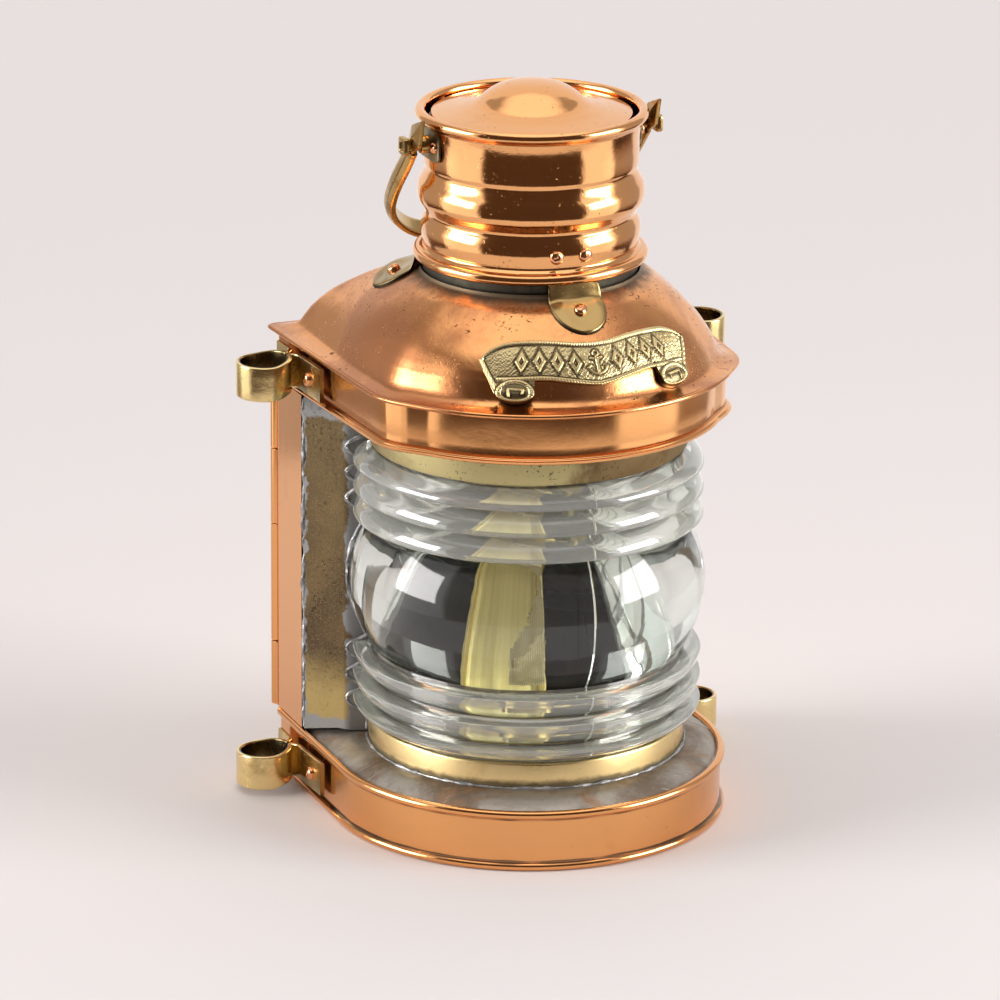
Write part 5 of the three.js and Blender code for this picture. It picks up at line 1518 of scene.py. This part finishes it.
def make_wick_knob():
    """A turned boss on the burner, and a turned knob on its shaft with a milled rim."""
    boss = [[0, 4.8], [3.5, 4.8], [3.5, 14.6], [3.2, 15.0], [1.5, 15.0], [1.5, 14.4], [0, 14.4]]
    skin("knob_boss", turned(boss, (0, 0, WICK_KNOB_Z), (1, 0, 0), 48), LAMP, along=True)
    knob = [[0, 0.2], [1.2, 0.2], [1.2, 15.0], [5.2, 15.2], [5.8, 15.6], [6, 16.3], [6, 17.8], [5.6, 18.5]]
    knob = np.array(knob + [[4.6, 18.7], [1.6, 18.3], [0, 18.3]])
    grid = turned(knob, (WICK_KNOB_X, 0, WICK_KNOB_Z), (1, 0, 0), 120)
    a = np.linspace(0, 2 * np.pi, 120, endpoint=False)[:, None]
    milled = 1 + 0.035 * np.sin(30 * a) * (knob[:, 0] > 5.5)[None]
    grid[..., 1] = grid[..., 1] * milled
    grid[..., 2] = WICK_KNOB_Z + (grid[..., 2] - WICK_KNOB_Z) * milled
    skin("wick_wheel", grid, LAMP, "wick_knob", along=True, stands_for=["wick_knob"])


def dress_remaining_nodes():
    """The plain inner sheets keep their own shape: the spider is tinned and the rest is black with soot.

    Two strips of sheet stand inside the panels and the door, where these meet the roof and the base.
    """
    for name, x, y, low, high in (("upper", 67.9, 64.6, 140.5, 146.4), ("lower", 67.1, 64.1, 19.9, 28.0)):
        line = filleted([[-x, 42], [-x, y], [x, y], [x, 42]], [0, 1.5, 1.5, 0], closed=False)
        strip = standing(respaced(line, 0.8, closed=False), 0.7, low, high)
        skin("light_stop_" + name, strip, (SOOT, "copper"), caps=True)
    for name, finish in (("base_floor", SOOT), ("ceiling_plate", SOOT), ("cap_spider", TINNED)):
        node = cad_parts[name]
        node.data.materials.clear()
        node.data.materials.append(finish)


# ---- Studio ----
def make_floor():
    """A pale table top round the lantern, and the wide paper floor it stands on, as rings of points.

    The polished metal mirrors the table and the room beyond it, and not the paper.
    """
    material, tree, shader, vector = start_material("floor_paper")
    grain = cloud(tree, vector, 3.0, 2.0)
    tone = blend_of(tree, grain, (0.60, 0.572, 0.568, 1), (0.612, 0.584, 0.58, 1))
    # Painted light: the floor is paler towards the front, where more light falls.
    depth = place(tree, "ShaderNodeSeparateXYZ", {}, {0: vector}).outputs[1]
    tone = blend_of(tree, between(tree, depth, 0.9, -0.55), tone, (0.70, 0.675, 0.672, 1))
    tree.links.new(tone, shader.inputs["Base Color"])
    shader.inputs["Roughness"].default_value = 0.9
    shader.inputs["Specular IOR Level"].default_value = 0.1
    angle = np.linspace(0, 2 * np.pi, 96, endpoint=False)
    rings = {"studio_table": [0, 230, TABLE_RADIUS], "studio_paper": [TABLE_RADIUS, 2000, 5000, 9000]}
    for name, radii in rings.items():
        radii = np.array(radii, float)
        x = radii[:, None] * np.cos(angle)
        y = radii[:, None] * np.sin(angle)
        points = np.stack([x, y, np.full_like(x, -FLOOR_DROP)], axis=-1).reshape(-1, 3) * 0.001
        index = np.arange(x.size).reshape(x.shape)
        index = np.hstack([index, index[:, :1]])
        quads = np.stack([index[:-1, :-1], index[1:, :-1], index[1:, 1:], index[:-1, 1:]], axis=-1)
        quads = quads.reshape(-1, 4)
        mesh = bpy.data.meshes.new(name)
        mesh.from_pydata(points.tolist(), [], quads.tolist())
        floor = bpy.data.objects.new(name, mesh)
        bpy.context.scene.collection.objects.link(floor)
        mesh.materials.append(material)
        floor.visible_glossy = name == "studio_table"


def band(tree, angle, start, end):
    """A smooth step from nothing at one angle in degrees to all at another."""
    return between(tree, angle, np.radians(start), np.radians(end))


def make_studio():
    """Two tall soft boxes with bright cores left and right of a dim room, a pale wall behind, and a ceiling.

    The sky's brightness is made of smooth bands of the angle from the set's front, and of height.
    """
    world = bpy.data.worlds.new("studio")
    bpy.context.scene.world = world
    world.use_nodes = True
    tree = world.node_tree
    tree.nodes.clear()
    way = place(tree, "ShaderNodeTexCoord").outputs["Generated"]
    turn = {"Vector": way, "Rotation": (0.0, 0.0, np.radians(-CAMERA_AZIMUTH))}
    way = place(tree, "ShaderNodeMapping", {"vector_type": "POINT"}, turn).outputs[0]
    parts = place(tree, "ShaderNodeSeparateXYZ", {}, {0: way})
    facing = maths(tree, "MULTIPLY", parts.outputs[1], -1.0)
    angle = maths(tree, "ABSOLUTE", maths(tree, "ARCTAN2", parts.outputs[0], facing))
    height = parts.outputs[2]
    room = band(tree, angle, 134, 143)
    box = maths(tree, "MULTIPLY", band(tree, angle, 52, 59), band(tree, angle, 104, 97))
    halo = maths(tree, "MULTIPLY", between(tree, height, -0.64, -0.55), between(tree, height, 0.72, 0.6))
    halo = maths(tree, "MULTIPLY", halo, 1.25)
    core = maths(tree, "MULTIPLY", band(tree, angle, 61, 63), band(tree, angle, 95, 93))
    core_tall = maths(tree, "MULTIPLY", between(tree, height, -0.02, 0.01), between(tree, height, 0.44, 0.41))
    core = maths(tree, "MULTIPLY", core, core_tall)
    soft_box = maths(tree, "ADD", maths(tree, "MULTIPLY", box, halo), maths(tree, "MULTIPLY", core, 13.0))
    ceiling = between(tree, height, 0.66, 0.93, 0.0, 1.5)
    aside = maths(tree, "MULTIPLY", band(tree, angle, 70, 104), 0.5)
    aside = maths(tree, "MULTIPLY", aside, between(tree, height, -0.5, -0.2))
    lit = maths(tree, "MAXIMUM", maths(tree, "MAXIMUM", room, aside), ceiling)
    level = maths(tree, "ADD", maths(tree, "MAXIMUM", lit, 0.085), soft_box)
    pale = between(tree, level, 0.1, 0.6)
    tone = blend_of(tree, pale, (1.0, 0.64, 0.46, 1), (1.0, 0.975, 0.965, 1))
    studio = place(tree, "ShaderNodeBackground", {}, {"Color": tone, "Strength": level})
    backdrop = place(tree, "ShaderNodeBackground", {}, {"Color": (0.85, 0.81, 0.81, 1), "Strength": 1.0})
    direct = place(tree, "ShaderNodeLightPath").outputs["Is Camera Ray"]
    shown = place(tree, "ShaderNodeMixShader", {}, {0: direct, 1: studio.outputs[0], 2: backdrop.outputs[0]})
    output = place(tree, "ShaderNodeOutputWorld")
    tree.links.new(shown.outputs[0], output.inputs[0])
    bpy.context.scene.view_settings.view_transform = "Standard"


make_base()
make_deck()
make_lens()
make_collars()
make_solder_seams()
make_screens()
make_panels()
make_door()
make_hinge()
make_door_fittings()
make_roof_band()
make_dome()
make_chimney()
make_cap_and_neck()
make_straps()
make_name_plate()
make_handle()
make_ears_and_pivots()
make_lugs()
make_reflector()
make_font()
make_burner_and_wick()
make_wick_knob()
dress_remaining_nodes()
make_floor()
make_studio()
